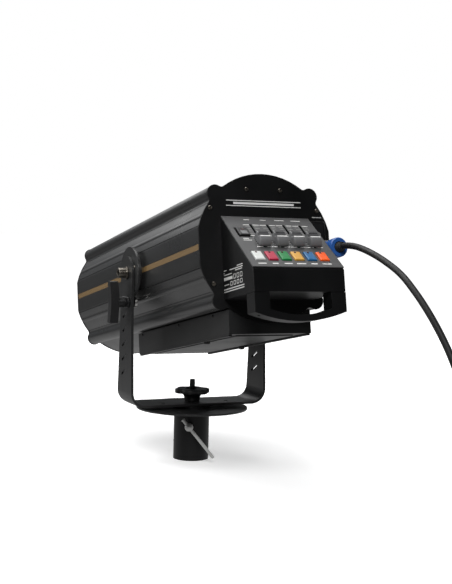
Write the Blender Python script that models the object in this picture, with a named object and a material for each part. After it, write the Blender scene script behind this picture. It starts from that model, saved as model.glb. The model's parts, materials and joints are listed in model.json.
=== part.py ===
"""A follow spot: a ribbed extruded lamp house with a sloped fader console, on a yoke and a stand socket.

World frame: +Z is up, +Y is the beam's heading, and the origin is on the axis of the stand tube, at its
lower end. The lamp house is drawn in its own frame under the empty "head": x to the right as the operator
sees it, y along the beam from the tilt axis, z up. The console is drawn under the empty "console", whose z axis
stands out of the sloped panel and whose -y axis runs down the slope from the panel's top edge.
"""

import math

import bmesh
import bpy
from mathutils import Matrix, Vector

GAP = 0.0003

# Stand socket, from the floor of the frame up
TUBE_RADIUS = 0.0287
TUBE_BORE = 0.0255
TUBE_HEIGHT = 0.0817
DISC_RADIUS = 0.0904
DISC_TOP = 0.0850
DISC_THICKNESS = 0.0030
WASHER_RADIUS = 0.030
WASHER_THICKNESS = 0.0040
STUD_RADIUS = 0.0044
DISC_HOLES = ((0.0405, -0.0440), (-0.0405, 0.0440), (0.0405, 0.0440), (-0.0405, -0.0440))
STUD_TOP = 0.1290
PAN_KNOB_TOP = 0.1140
PAN_KNOB_PLATE = 0.0072
PAN_KNOB_RADIUS = 0.0285

# T-screws that clamp the stand's spigot
SCREW_HEIGHT = 0.0570
SCREW_BEARING = -28.0
BALL_DISTANCE = 0.0430
BALL_RADIUS = 0.0070
BAR_RADIUS = 0.0021
BEAD_RADIUS = BAR_RADIUS + 0.0006
BEAD_LENGTH = 0.0036
BAR_LENGTH = 0.0770
BAR_SLOPE = 50.0

# Yoke, a bent strap
PIVOT_HEIGHT = 0.3010
STRAP_THICKNESS = 0.0040
STRAP_BOTTOM = DISC_TOP + WASHER_THICKNESS + 2 * GAP
YOKE_HALF_WIDTH = 0.1170
ARM_HALF_WIDTH = 0.0260
BASE_HALF_WIDTH = 0.0325
BEND_RADIUS = 0.0240
TAPER_START = -0.080
SLOT_COUNT = 5
SLOT_PITCH = 0.0225
SLOT_FIRST = -0.0665
SLOT_LENGTH = 0.0240
SLOT_WIDTH = 0.0040
SLOT_ANGLE = 150.0
BASE_HOLES = ((-0.056, -0.014), (0.054, -0.014))

# Tilt brake: a disc on the lamp house, pinched at its rim by the clamp on the yoke
BRAKE_RADIUS = 0.0415
BRAKE_THICKNESS = 0.0040
BRAKE_BOSS = 0.0310
BRAKE_OUTER = 0.1127
BRAKE_INNER = 0.1026
SHOE_INNER = 0.1046
CLAMP_DROP = 0.0460
CLAMP_SCREW = 0.0040
CLAMP_WIDTH = 0.0380
CLAMP_HEIGHT = 0.0170
BOLT_RADIUS = 0.0050

# Lamp house: a round profile with a rib at each corner and a flat on each side
TILT = 10.5
REAR = -0.2610
LENGTH = 0.5705
PLATE = 0.0030
PROFILE_RADIUS = 0.1055
FLAT = 0.1023
RIB_CENTRE = (0.0745, 0.0758)
RIB_RADIUS = 0.0118
RIB_FILLET = 0.0060
SKIN = 0.0025
SPLIT = 0.0400
GROOVE = 0.0012
SIDE_GROOVE = 0.0295
COVER_GROOVE = 0.0625
PLATE_OVERHANG = 0.0008
STRIPE_HALF = 0.0043
STRIPE_DEPTH = 0.0010
LENS_RADIUS = 0.0620
LENS_RING_WALL = 0.0037

# Base box under the lamp house
BOX_HALF_WIDTH = 0.0643
BOX_TOP = -0.0877
BOX_BOTTOM = -0.1223
BOX_LENGTH = 0.3620
BOX_SHEET = 0.0015
VENT_START = 0.1000
VENT_PITCH = 0.0120
VENT_ROWS = 6
VENT_X = 0.0220

# Console on the rear plate
CONSOLE_SIDE = 0.0690
CONSOLE_TOP = 0.0447
CONSOLE_DEPTH = 0.0950
CONSOLE_EDGE = -0.0414
CONSOLE_BOTTOM = -0.0750
CONSOLE_WALL = 0.0025
PANEL_THICKNESS = 0.0020
SLOPE = math.atan2(CONSOLE_TOP - CONSOLE_EDGE, CONSOLE_DEPTH)
PANEL_LENGTH = math.hypot(CONSOLE_TOP - CONSOLE_EDGE, CONSOLE_DEPTH)
HANDLE_DEPTH = 0.0240
HANDLE_SIDE_DROP = 0.1020
HANDLE_MID_DROP = 0.1144
GRIP_HALF_WIDTH = 0.0465

# Controls, as distances along and down the panel
FADER_FIRST = -0.0313
FADER_PITCH = 0.0258
FADER_TOP = 0.0220
FADER_SLOT = 0.0590
FADER_REST = 0.0690
FADER_SLOT_WIDTH = 0.0036
CAP_SIZE = (0.0172, 0.0230, 0.0125)
CAP_LIFT = 0.0012
KEY_FIRST = -0.0513
KEY_PITCH = 0.0196
KEY_DOWN = 0.1032
KEY_SIZE = (0.0144, 0.0200)
KEY_COLOURS = ("white", "red", "green", "yellow", "blue", "orange")
KEY_PROUD = 0.0022
KEY_SKIRT = 0.0055
KEY_TRAVEL = 0.0015
KEY_CLEARANCE = 0.0004
LAMP_KEY = (-0.0506, 0.0435)
LAMP_KEY_SIZE = (0.0166, 0.0190)
LAMP_WINDOW = ((-0.0607, -0.0552), (-0.0405, -0.0318))

# Power: rocker, inlet, plug and lead on the rear plate
ROCKER_CENTRE = (0.0852, 0.0255)
ROCKER_SIZE = (0.0190, 0.0250)
INLET_CENTRE = (0.0888, -0.0060)
INLET_FLANGE = (0.0260, 0.0300)
INLET_BARREL = 0.0100
INLET_BORE = 0.0086
PLUG_NOSE = 0.0082
PLUG_RADIUS = 0.0138
PLUG_END = -0.0520
CABLE_RADIUS = 0.0045

# The lead's route, by hand: world metres from the plug's end to where it meets its coil
CABLE_ROUTE = (
    (0.0888, -0.3080, 0.3515),
    (0.0888, -0.3300, 0.3545),
    (0.0890, -0.3630, 0.3522),
    (0.0893, -0.4050, 0.3426),
    (0.0896, -0.4450, 0.3292),
    (0.0900, -0.4710, 0.3172),
    (0.0905, -0.4930, 0.3028),
    (0.0915, -0.5160, 0.2850),
    (0.0935, -0.5400, 0.2620),
    (0.0965, -0.5620, 0.2350),
    (0.1000, -0.5810, 0.2040),
    (0.1040, -0.5975, 0.1700),
    (0.1080, -0.6120, 0.1340),
    (0.1120, -0.6260, 0.0980),
    (0.1155, -0.6405, 0.0650),
    (0.1185, -0.6580, 0.0370),
    (0.1205, -0.6770, 0.0175),
)
COIL_CENTRE = (0.1755, -0.7330)
COIL_INNER = 0.0486
COIL_OUTER = 0.0594
COIL_HEIGHT = 0.0290
COIL_ROUNDING = 0.0030
MAINS_PLUG_BACK = 0.0260
MAINS_PLUG_CENTRE = (COIL_CENTRE[0] + 0.0540, COIL_CENTRE[1] + 0.0450 + MAINS_PLUG_BACK, 0.0192)
PRONG_SPACING = 0.0190
PRONG_RADIUS = 0.0024

# Light engine, as distances ahead of the rear plate
FAN_STATION = 0.0220
FAN_DEPTH = 0.0250
FAN_HALF = 0.0400
FAN_BORE = 0.0380
FAN_BLADES = 7
SINK_STATION = 0.0560
SINK_DEPTH = 0.0540
SINK_FLOOR = 0.0460
SINK_HALF_HEIGHT = 0.0430
FIN_COUNT = 9
FIN_PITCH = 0.0100
FIN_THICKNESS = 0.0030
LED_STATION = SINK_STATION + SINK_DEPTH + 0.0013
WHEEL_STATION = 0.1640
WHEEL_CENTRE = (0.0297, -0.0297)
WHEEL_RADIUS = 0.0560
GEL_CIRCLE = 0.0420
GEL_RADIUS = 0.0105
GEL_COUNT = 8
MOTOR_HALF = 0.0140
IRIS_STATION = 0.1806
IRIS_RADII = (0.0245, 0.0400)
RAIL_X = 0.0660
RAIL_RADIUS = 0.0030
RAIL_SPAN = (0.1900, 0.5220)
CARRIAGE_STATION = 0.3200
CARRIAGE_HALF = (0.0740, 0.0050, 0.0480)
ZOOM_LENS_RADIUS = 0.0420
SUPPLY_LOW = (-0.0480, 0.1950, -0.0840)
SUPPLY_HIGH = (0.0480, 0.3350, -0.0560)


# ---------------------------------------------------------------- shapes


def on_axis(axis, u, v, w):
    """A point from two section coordinates and a distance along the axis."""
    return {"X": (w, u, v), "Y": (u, w, v), "Z": (u, v, w)}[axis]


def loft(rings, closed=False):
    """A solid skin over rings of equally many points, with its ends capped or joined."""
    mesh = bmesh.new()
    loops = [[mesh.verts.new(point) for point in ring] for ring in rings]
    pairs = list(zip(loops, loops[1:]))
    if closed:
        pairs.append((loops[-1], loops[0]))
    count = len(loops[0])
    for low, high in pairs:
        for i in range(count):
            j = (i + 1) % count
            mesh.faces.new((low[i], low[j], high[j], high[i]))
    if not closed:
        mesh.faces.new(loops[0])
        mesh.faces.new(loops[-1])
    bmesh.ops.recalc_face_normals(mesh, faces=mesh.faces[:])
    return mesh


def prism(axis, outline, low, high):
    """An outline pushed along an axis."""
    return loft([[on_axis(axis, u, v, w) for u, v in outline] for w in (low, high)])


def turned(axis, profile, segments=32, centre=(0.0, 0.0), hollow=False):
    """A profile of (radius, distance) turned about an axis; a hollow one is a closed ring."""
    rings = []
    for radius, distance in profile:
        rings.append([on_axis(axis, centre[0] + u, centre[1] + v, distance)
                      for u, v in circle(radius, segments)])
    return loft(rings, closed=hollow)


def box(low, high):
    """A block between two corners."""
    return prism("Z", rectangle(low[:2], high[:2]), low[2], high[2])


def joined(*meshes):
    """Several meshes as one, for cutting several holes at once."""
    whole = bmesh.new()
    for mesh in meshes:
        copies = {vert: whole.verts.new(vert.co) for vert in mesh.verts}
        for face in mesh.faces:
            whole.faces.new([copies[vert] for vert in face.verts])
        mesh.free()
    bmesh.ops.recalc_face_normals(whole, faces=whole.faces[:])
    return whole


def spun(mesh, degrees, axis):
    """A mesh turned about a world axis."""
    turn = Matrix.Rotation(math.radians(degrees), 3, axis)
    bmesh.ops.rotate(mesh, verts=mesh.verts[:], cent=(0, 0, 0), matrix=turn)
    return mesh


def circle(radius, segments):
    step = math.tau / segments
    return [(radius * math.cos(i * step), radius * math.sin(i * step)) for i in range(segments)]


def rectangle(low, high):
    return [(low[0], low[1]), (high[0], low[1]), (high[0], high[1]), (low[0], high[1])]


def arc(centre, radius, start, end, steps):
    """Points on an arc, angles in degrees, both ends included."""
    points = []
    for i in range(steps + 1):
        angle = math.radians(start + (end - start) * i / steps)
        points.append((centre[0] + radius * math.cos(angle), centre[1] + radius * math.sin(angle)))
    return points


def stadium(centre, length, width, degrees, steps=3):
    """An oblong with round ends."""
    reach = (length - width) / 2
    turn = math.radians(degrees)
    ends = []
    for sign, start in ((1, -90.0), (-1, 90.0)):
        middle = (centre[0] + sign * reach * math.cos(turn), centre[1] + sign * reach * math.sin(turn))
        ends += arc(middle, width / 2, degrees + start, degrees + start + 180, steps)
    return ends


def lobed(radius, depth, lobes, steps):
    """A round outline with scalloped lobes."""
    points = []
    for i in range(lobes * steps):
        angle = math.tau * i / (lobes * steps)
        reach = radius - depth * (0.5 - 0.5 * math.cos(lobes * angle)) ** 2
        points.append((reach * math.cos(angle), reach * math.sin(angle)))
    return points


# ---------------------------------------------------------------- objects


def clear_scene():
    for old in list(bpy.data.objects):
        bpy.data.objects.remove(old, do_unlink=True)


def material(name, colour, roughness, metallic=0.0, transmission=0.0):
    made = bpy.data.materials.new(name)
    made.use_nodes = True
    shader = made.node_tree.nodes["Principled BSDF"]
    shader.inputs["Base Color"].default_value = (*colour, 1.0)
    shader.inputs["Roughness"].default_value = roughness
    shader.inputs["Metallic"].default_value = metallic
    shader.inputs["Transmission Weight"].default_value = transmission
    made.diffuse_color = (*colour, 1.0)
    return made


def make_materials():
    return {
        "grey_paint": material("grey_paint", (0.24, 0.25, 0.25), 0.45, 0.3),
        "black_paint": material("black_paint", (0.02, 0.02, 0.022), 0.5),
        "panel_grey": material("panel_grey", (0.33, 0.34, 0.34), 0.5),
        "black_plastic": material("black_plastic", (0.015, 0.015, 0.017), 0.45),
        "grey_plastic": material("grey_plastic", (0.12, 0.125, 0.13), 0.4),
        "steel": material("steel", (0.62, 0.62, 0.6), 0.3, 1.0),
        "aluminium": material("aluminium", (0.6, 0.6, 0.61), 0.35, 1.0),
        "rubber": material("rubber", (0.02, 0.02, 0.02), 0.8),
        "blue_plastic": material("blue_plastic", (0.03, 0.12, 0.42), 0.4),
        "glass": material("glass", (0.9, 0.95, 0.95), 0.05, 0.0, 1.0),
        "circuit_board": material("circuit_board", (0.02, 0.16, 0.07), 0.5),
        "white": material("white", (0.75, 0.76, 0.75), 0.4),
        "red": material("red", (0.5, 0.03, 0.06), 0.4),
        "green": material("green", (0.02, 0.3, 0.08), 0.4),
        "yellow": material("yellow", (0.75, 0.48, 0.1), 0.4),
        "blue": material("blue", (0.03, 0.2, 0.42), 0.4),
        "orange": material("orange", (0.85, 0.17, 0.03), 0.4),
    }


def empty(name, location, rotation=(0.0, 0.0, 0.0), parent=None):
    made = bpy.data.objects.new(name, None)
    bpy.context.collection.objects.link(made)
    made.location = location
    made.rotation_euler = rotation
    made.parent = parent
    return made


def place(name, mesh, look, parent=None, location=(0.0, 0.0, 0.0), rotation=(0.0, 0.0, 0.0)):
    """Puts a mesh in the scene under a name, with its material and round faces shaded smooth."""
    data = bpy.data.meshes.new(name)
    mesh.to_mesh(data)
    mesh.free()
    made = bpy.data.objects.new(name, data)
    bpy.context.collection.objects.link(made)
    made.location = location
    made.rotation_euler = rotation
    made.parent = parent
    if look is not None:
        data.materials.append(look)
    data.shade_smooth()
    data.set_sharp_from_angle(angle=math.radians(32))
    return made


def combine(target, mesh, operation):
    """Cuts a mesh out of an object, or adds it, with a hidden tool placed where the object is."""
    tool = place(f"{target.name}_{operation.lower()}_{len(target.modifiers)}", mesh, None,
                 target.parent, target.location, target.rotation_euler)
    tool.hide_render = True
    tool.display_type = "WIRE"
    step = target.modifiers.new(operation.title(), "BOOLEAN")
    step.operation = operation
    step.solver = "EXACT"
    step.object = tool
    return target


def cut(target, mesh):
    return combine(target, mesh, "DIFFERENCE")


def add(target, mesh):
    return combine(target, mesh, "UNION")


# ---------------------------------------------------------------- stand


def around_tube(bearing, distance, height):
    """A place outside the stand tube, the bearing in degrees from -Y towards +X."""
    turn = math.radians(bearing)
    return (distance * math.sin(turn), -distance * math.cos(turn), height)


def make_stand(looks):
    tube = turned("Z", [(TUBE_BORE, 0.0), (TUBE_RADIUS, 0.0), (TUBE_RADIUS, TUBE_HEIGHT),
                        (TUBE_BORE, TUBE_HEIGHT)], 40, hollow=True)
    tube = place("stand_tube", tube, looks["black_paint"])
    hole = turned("Y", [(0.0043, -0.060), (0.0043, 0.060)], 16, (0.0, SCREW_HEIGHT))
    cut(tube, spun(hole, SCREW_BEARING, "Z"))
    disc = turned("Z", [(DISC_RADIUS - 0.0004, DISC_TOP - DISC_THICKNESS), (DISC_RADIUS, DISC_TOP - 0.0026),
                        (DISC_RADIUS, DISC_TOP)], 60)
    disc = place("stand_disc", disc, looks["grey_paint"])
    stud_hole = turned("Z", [(STUD_RADIUS + 0.0005, 0.07), (STUD_RADIUS + 0.0005, 0.10)], 20)
    small = [turned("Z", [(0.0025, 0.07), (0.0025, 0.10)], 8, centre) for centre in DISC_HOLES]
    cut(disc, joined(stud_hole, *small))
    stud = turned("Z", [(0.0065, 0.0755), (0.0065, DISC_TOP - DISC_THICKNESS - GAP),
                        (STUD_RADIUS, DISC_TOP - DISC_THICKNESS - GAP), (STUD_RADIUS, STUD_TOP - 0.0006),
                        (STUD_RADIUS - 0.0006, STUD_TOP)], 20)
    place("pan_stud", stud, looks["steel"])
    washer = turned("Z", [(0.0048, DISC_TOP + GAP), (WASHER_RADIUS, DISC_TOP + GAP),
                          (WASHER_RADIUS, DISC_TOP + WASHER_THICKNESS),
                          (0.0048, DISC_TOP + WASHER_THICKNESS)], 40, hollow=True)
    place("friction_washer", washer, looks["black_plastic"])


def make_t_screw(looks, side, bearing, short_reach):
    """A clamp screw in the tube wall, with a ball head and a bar that slides through it."""
    location = around_tube(bearing, BALL_DISTANCE, SCREW_HEIGHT)
    facing = (0.0, 0.0, math.radians(bearing))
    screw = turned("Y", [(0.0038, 0.0195), (0.0038, 0.0062), (0.0055, 0.0055), (0.0064, 0.0030),
                         (BALL_RADIUS, 0.0), (0.0064, -0.0030), (0.0046, -0.0054), (0.0020, -0.0067)], 16)
    screw = place(f"stand_screw_{side}", screw, looks["steel"], None, location, facing)
    slide = turned("X", [(BAR_RADIUS + GAP, -0.02), (BAR_RADIUS + GAP, 0.02)], 12)
    cut(screw, spun(slide, BAR_SLOPE, "Y"))
    bead = [(BEAD_RADIUS - 0.0008, 0.0), (BEAD_RADIUS, 0.0008), (BEAD_RADIUS, BEAD_LENGTH - 0.0008),
            (BAR_RADIUS, BEAD_LENGTH)]
    profile = [(radius, inset - short_reach) for radius, inset in bead]
    profile += [(radius, BAR_LENGTH - short_reach - inset) for radius, inset in reversed(bead)]
    place(f"t_bar_{side}", turned("X", profile, 12), looks["steel"], None, location,
          (0.0, math.radians(BAR_SLOPE), math.radians(bearing)))


def make_pan_knob(looks):
    low = STRAP_BOTTOM + STRAP_THICKNESS + GAP
    under = PAN_KNOB_TOP - PAN_KNOB_PLATE
    plate = lobed(PAN_KNOB_RADIUS, 0.0030, 7, 5)
    rims = [(0.0040, under), (0.0, under + 0.0018), (0.0, PAN_KNOB_TOP - 0.0016), (0.0028, PAN_KNOB_TOP)]
    rings = [[(u * (1 - inset / PAN_KNOB_RADIUS), v * (1 - inset / PAN_KNOB_RADIUS), z) for u, v in plate]
             for inset, z in rims]
    knob = place("pan_knob", loft(rings), looks["black_plastic"])
    add(knob, turned("Z", [(0.0100, low), (0.0102, low + 0.0010), (0.0143, under + 0.0010)], 28))
    bore = turned("Z", [(STUD_RADIUS + GAP, 0.09), (STUD_RADIUS + GAP, 0.13)], 20)
    cut(knob, bore)
    cut(knob, turned("Z", [(0.0120, PAN_KNOB_TOP - 0.0025), (0.0128, PAN_KNOB_TOP + 0.001)], 28))


# ---------------------------------------------------------------- yoke


def strap_stations():
    """The strap's path from tip to tip, left to right: (x, z, outward x, outward z, half width)."""
    low = STRAP_BOTTOM - PIVOT_HEIGHT
    stations = []
    for i in range(9):
        angle = math.radians(84 * (1 - i / 8))
        stations.append((-YOKE_HALF_WIDTH, ARM_HALF_WIDTH * math.sin(angle), -1.0, 0.0,
                         ARM_HALF_WIDTH * math.cos(angle)))
    stations.append((-YOKE_HALF_WIDTH, TAPER_START, -1.0, 0.0, ARM_HALF_WIDTH))
    corner = (-YOKE_HALF_WIDTH + BEND_RADIUS, low + BEND_RADIUS)
    for u, v in arc((0.0, 0.0), 1.0, 180, 270, 8):
        stations.append((corner[0] + BEND_RADIUS * u, corner[1] + BEND_RADIUS * v, u, v, BASE_HALF_WIDTH))
    mirrored = [(-x, z, -u, v, width) for x, z, u, v, width in reversed(stations)]
    return stations + mirrored


def make_yoke(looks, pivot):
    rings = []
    for x, z, u, v, width in strap_stations():
        inner = (x - STRAP_THICKNESS * u, z - STRAP_THICKNESS * v)
        rings.append([(x, -width, z), (x, width, z), (inner[0], width, inner[1]),
                      (inner[0], -width, inner[1])])
    yoke = place("yoke", loft(rings), looks["grey_paint"], pivot)
    slots = [prism("X", stadium((0.0047, SLOT_FIRST - i * SLOT_PITCH), SLOT_LENGTH, SLOT_WIDTH, SLOT_ANGLE),
                   -0.13, 0.13) for i in range(SLOT_COUNT)]
    pins = [turned("X", [(BOLT_RADIUS + GAP, -0.13), (BOLT_RADIUS + GAP, 0.13)], 20),
            turned("X", [(CLAMP_SCREW + GAP, -0.13), (CLAMP_SCREW + GAP, 0.13)], 16, (0.0, -CLAMP_DROP))]
    floor = STRAP_BOTTOM - PIVOT_HEIGHT
    holes = [turned("Z", [(radius, floor - 0.005), (radius, floor + 0.01)], 16, centre)
             for radius, centre in ((0.0048, (0.0, 0.0)), *((0.0035, centre) for centre in BASE_HOLES))]
    cut(yoke, joined(*slots, *pins, *holes))


def make_tilt_lock(looks, pivot, side, sign):
    """One side's pivot bolt, brake clamp and wing knob, on the yoke."""
    face = YOKE_HALF_WIDTH + GAP
    bolt = turned("X", [(0.0020, sign * 0.1032), (BOLT_RADIUS, sign * 0.1040), (BOLT_RADIUS, sign * face),
                        (0.0105, sign * face), (0.0105, sign * (face + 0.0020)),
                        (0.0082, sign * (face + 0.0020)), (0.0082, sign * (face + 0.0132)),
                        (0.0074, sign * (face + 0.0142))], 20)
    bolt = place(f"{side}_pivot_bolt", bolt, looks["steel"], pivot)
    cut(bolt, turned("X", [(0.0046, sign * (face + 0.0080)), (0.0046, sign * 0.14)], 6))
    shoe = prism("X", stadium((0.0, -CLAMP_DROP), CLAMP_WIDTH, CLAMP_HEIGHT, 0, 6), sign * SHOE_INNER,
                 sign * (BRAKE_OUTER - BRAKE_THICKNESS - 2 * GAP))
    shoe = place(f"{side}_clamp_shoe", shoe, looks["steel"], pivot)
    cut(shoe, turned("X", [(CLAMP_SCREW + GAP, -0.13), (CLAMP_SCREW + GAP, 0.13)], 16, (0.0, -CLAMP_DROP)))
    start = face + 0.0028
    knob = turned("X", [(CLAMP_SCREW - 0.0008, sign * 0.1030), (CLAMP_SCREW, sign * 0.1040),
                        (CLAMP_SCREW, sign * start), (0.0083, sign * start),
                        (0.0083, sign * (start + 0.0118))], 24)
    knob = place(f"{side}_tilt_knob", knob, looks["black_plastic"], pivot, (0.0, 0.0, -CLAMP_DROP))
    add(knob, wing_grip(sign, start + 0.0102))


def wing_grip(sign, low):
    """A flat bar whose two wings sweep a little outward from the hub."""
    rings = []
    for height, sweep, half in ((-0.0328, 0.0014, 0.0052), (-0.0318, 0.0014, 0.0062), (-0.006, 0.0, 0.0072),
                                (0.006, 0.0, 0.0072), (0.0318, 0.0024, 0.0062), (0.0328, 0.0024, 0.0052)):
        inner = sign * (low + sweep)
        outer = sign * (low + sweep + 0.0136)
        rings.append([(inner, -half, height), (outer, -half, height), (outer, half, height),
                      (inner, half, height)])
    return loft(rings)


# ---------------------------------------------------------------- lamp house


def rib_outline(inset):
    """One corner rib's outline at the upper right, anticlockwise, with its fillets into the round."""
    radius = PROFILE_RADIUS - inset
    rib = RIB_RADIUS - inset
    fillet = RIB_FILLET + inset
    reach = math.hypot(*RIB_CENTRE)
    heading = math.degrees(math.atan2(RIB_CENTRE[1], RIB_CENTRE[0]))
    far = radius + fillet
    spread = math.degrees(math.acos((reach ** 2 + far ** 2 - (rib + fillet) ** 2) / (2 * reach * far)))
    points = []
    sides = []
    for sign in (-1, 1):
        angle = math.radians(heading + sign * spread)
        middle = (far * math.cos(angle), far * math.sin(angle))
        towards = math.degrees(math.atan2(middle[1] - RIB_CENTRE[1], middle[0] - RIB_CENTRE[0]))
        sides.append((middle, heading + sign * spread, towards))
    (low, low_angle, low_towards), (high, high_angle, high_towards) = sides
    points += arc(low, fillet, low_angle + 180, low_towards + 180, 3)
    if high_towards < low_towards:
        high_towards += 360
    points += arc(RIB_CENTRE, rib, low_towards, high_towards, 8)[1:-1]
    points += arc(high, fillet, high_towards + 180, high_angle + 180, 3)
    return points


def quarter(inset, from_height):
    """The profile's upper right quarter, from a height on the side up to the crown."""
    radius = PROFILE_RADIUS - inset
    flat = FLAT - inset
    rib = rib_outline(inset)
    points = []
    corner = math.sqrt(radius ** 2 - flat ** 2)
    start = math.degrees(math.asin(from_height / radius)) if from_height > corner else None
    if start is None:
        points.append((flat, from_height))
        start = math.degrees(math.asin(corner / radius))
    reach = math.degrees(math.atan2(rib[0][1], rib[0][0]))
    points += arc((0.0, 0.0), radius, start, reach, 3)[:-1]
    points += rib
    last = math.degrees(math.atan2(rib[-1][1], rib[-1][0]))
    points += arc((0.0, 0.0), radius, last, 90.0, 6)[1:]
    return points


def mirrored_over_x(points):
    """Points and their mirror images in x, the crown point used once."""
    return points + [(-x, z) for x, z in reversed(points[:-1])]


def full_outline(inset):
    """The whole profile, anticlockwise from the right side."""
    upper = mirrored_over_x(quarter(inset, 0.0))
    lower = [(x, -z) for x, z in reversed(upper[1:-1])]
    return upper + lower


def cover_outline(turn):
    """The section of the upper (1) or lower (-1) cover, a skin with a fine groove beside each rib."""
    outer = quarter(0.0, SPLIT + GAP / 2)
    inner = quarter(SKIN, SPLIT + GAP / 2)
    ring = mirrored_over_x(outer) + list(reversed(mirrored_over_x(inner)))
    return [(x, z * turn) for x, z in ring]


def side_outline(sign):
    """The section of a side panel: a flat with a stripe channel and a groove above and below it."""
    radius = PROFILE_RADIUS
    corner = math.sqrt(radius ** 2 - FLAT ** 2)
    top = SPLIT - GAP / 2
    half = [(FLAT - STRIPE_DEPTH, 0.0), (FLAT - STRIPE_DEPTH, STRIPE_HALF), (FLAT, STRIPE_HALF),
            (FLAT, corner)]
    for offset, depth in ((-GROOVE / 2, 0.0), (0.0, GROOVE), (GROOVE / 2, 0.0)):
        height = SIDE_GROOVE + offset
        half.append((math.sqrt(radius ** 2 - height ** 2) - depth, height))
    half.append((math.sqrt(radius ** 2 - 0.035 ** 2), 0.035))
    half.append((math.sqrt(radius ** 2 - top ** 2), top))
    inside = [(math.sqrt((radius - SKIN) ** 2 - top ** 2), top),
              (math.sqrt((radius - SKIN - 0.0005) ** 2 - 0.03 ** 2), 0.03), (FLAT - SKIN - 0.0005, 0.02)]
    upper = half + inside
    lower = [(x, -z) for x, z in reversed(upper)][:-1]
    return [(sign * x, z) for x, z in upper + lower]


def make_house(looks, head):
    low = REAR + PLATE + GAP
    high = REAR + LENGTH - PLATE - GAP
    for name, turn in (("top_cover", 1), ("bottom_cover", -1)):
        cover = place(name, prism("Y", cover_outline(turn), low, high), looks["grey_paint"], head)
        reach = math.sqrt(PROFILE_RADIUS ** 2 - COVER_GROOVE ** 2) - GROOVE
        lines = [box((min(sign * reach, sign * 0.2), low - 0.01, turn * COVER_GROOVE - 0.0004),
                     (max(sign * reach, sign * 0.2), high + 0.01, turn * COVER_GROOVE + 0.0004))
                 for sign in (-1, 1)]
        cut(cover, joined(*lines))
    for side, sign in (("left", -1), ("right", 1)):
        place(f"{side}_side_panel", prism("Y", side_outline(sign), low, high), looks["grey_paint"], head)
    rear = place("rear_plate", prism("Y", full_outline(-PLATE_OVERHANG), REAR, REAR + PLATE),
                 looks["black_paint"], head)
    bore = INLET_BARREL + GAP
    inlet = turned("Y", [(bore, REAR - 0.01), (bore, REAR + 0.01)], 24, INLET_CENTRE)
    half = (ROCKER_SIZE[0] / 2 + 0.0013, ROCKER_SIZE[1] / 2 + 0.0013)
    rocker = box((ROCKER_CENTRE[0] - half[0], REAR - 0.01, ROCKER_CENTRE[1] - half[1]),
                 (ROCKER_CENTRE[0] + half[0], REAR + 0.01, ROCKER_CENTRE[1] + half[1]))
    wires = box((-0.030, REAR - 0.01, -0.020), (0.030, REAR + 0.01, 0.010))
    cut(rear, joined(inlet, rocker, wires))
    nose = REAR + LENGTH
    front = place("front_plate", prism("Y", full_outline(-PLATE_OVERHANG), nose - PLATE, nose),
                  looks["black_paint"], head)
    cut(front, turned("Y", [(LENS_RADIUS + 0.0040, 0.2), (LENS_RADIUS + 0.0040, 0.4)], 36))
    outer = LENS_RADIUS + LENS_RING_WALL
    ring = turned("Y", [(LENS_RADIUS, nose - 0.0260), (outer, nose - 0.0260),
                        (outer, nose + GAP), (LENS_RADIUS + 0.0080, nose + GAP),
                        (LENS_RADIUS + 0.0080, nose + 0.0030), (LENS_RADIUS + 0.0070, nose + 0.0040),
                        (LENS_RADIUS - 0.0020, nose + 0.0040), (LENS_RADIUS - 0.0020, nose - 0.0020),
                        (LENS_RADIUS, nose - 0.0020)], 36, hollow=True)
    place("lens_ring", ring, looks["black_paint"], head)
    place("front_lens", lens_mesh(LENS_RADIUS - GAP, nose - 0.0140, 0.0040, 0.0078), looks["glass"], head)


def lens_mesh(radius, seat, edge, crown):
    """A lens with a flat back, a plain edge and a domed front."""
    profile = [(radius, seat), (radius, seat + edge)]
    for i in range(1, 4):
        share = i / 4
        profile.append((radius * (1 - share), seat + edge + crown * (1 - (1 - share) ** 2)))
    return turned("Y", profile, 28)


def make_base_box(looks, head):
    low = REAR + 0.0002
    high = REAR + BOX_LENGTH
    tray = place("base_box", box((-BOX_HALF_WIDTH, low, BOX_BOTTOM), (BOX_HALF_WIDTH, high, BOX_TOP)),
                 looks["grey_paint"], head)
    sheet = BOX_SHEET
    inside = box((-BOX_HALF_WIDTH + sheet, low + sheet, BOX_BOTTOM + sheet),
                 (BOX_HALF_WIDTH - sheet, high - sheet, BOX_TOP + 0.02))
    cut(tray, inside)
    cut(tray, prism("Y", full_outline(-0.0012), low - 0.01, high + 0.01))
    vents = [prism("Z", stadium((x, REAR + VENT_START + VENT_PITCH * i), 0.030, 0.004, 0, 3),
                   BOX_BOTTOM - 0.01, BOX_BOTTOM + 0.01)
             for i in range(VENT_ROWS) for x in (-VENT_X, VENT_X)]
    cut(tray, joined(*vents))


def make_brake_discs(looks, head):
    for side, sign in (("left", -1), ("right", 1)):
        inner = BRAKE_OUTER - BRAKE_THICKNESS
        disc = turned("X", [(BOLT_RADIUS + GAP, sign * BRAKE_INNER), (BRAKE_BOSS, sign * BRAKE_INNER),
                            (BRAKE_BOSS, sign * inner), (BRAKE_RADIUS, sign * inner),
                            (BRAKE_RADIUS, sign * BRAKE_OUTER), (BOLT_RADIUS + GAP, sign * BRAKE_OUTER)],
                      36, hollow=True)
        place(f"{side}_tilt_disc", disc, looks["grey_paint"], head)


# ---------------------------------------------------------------- console


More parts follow.
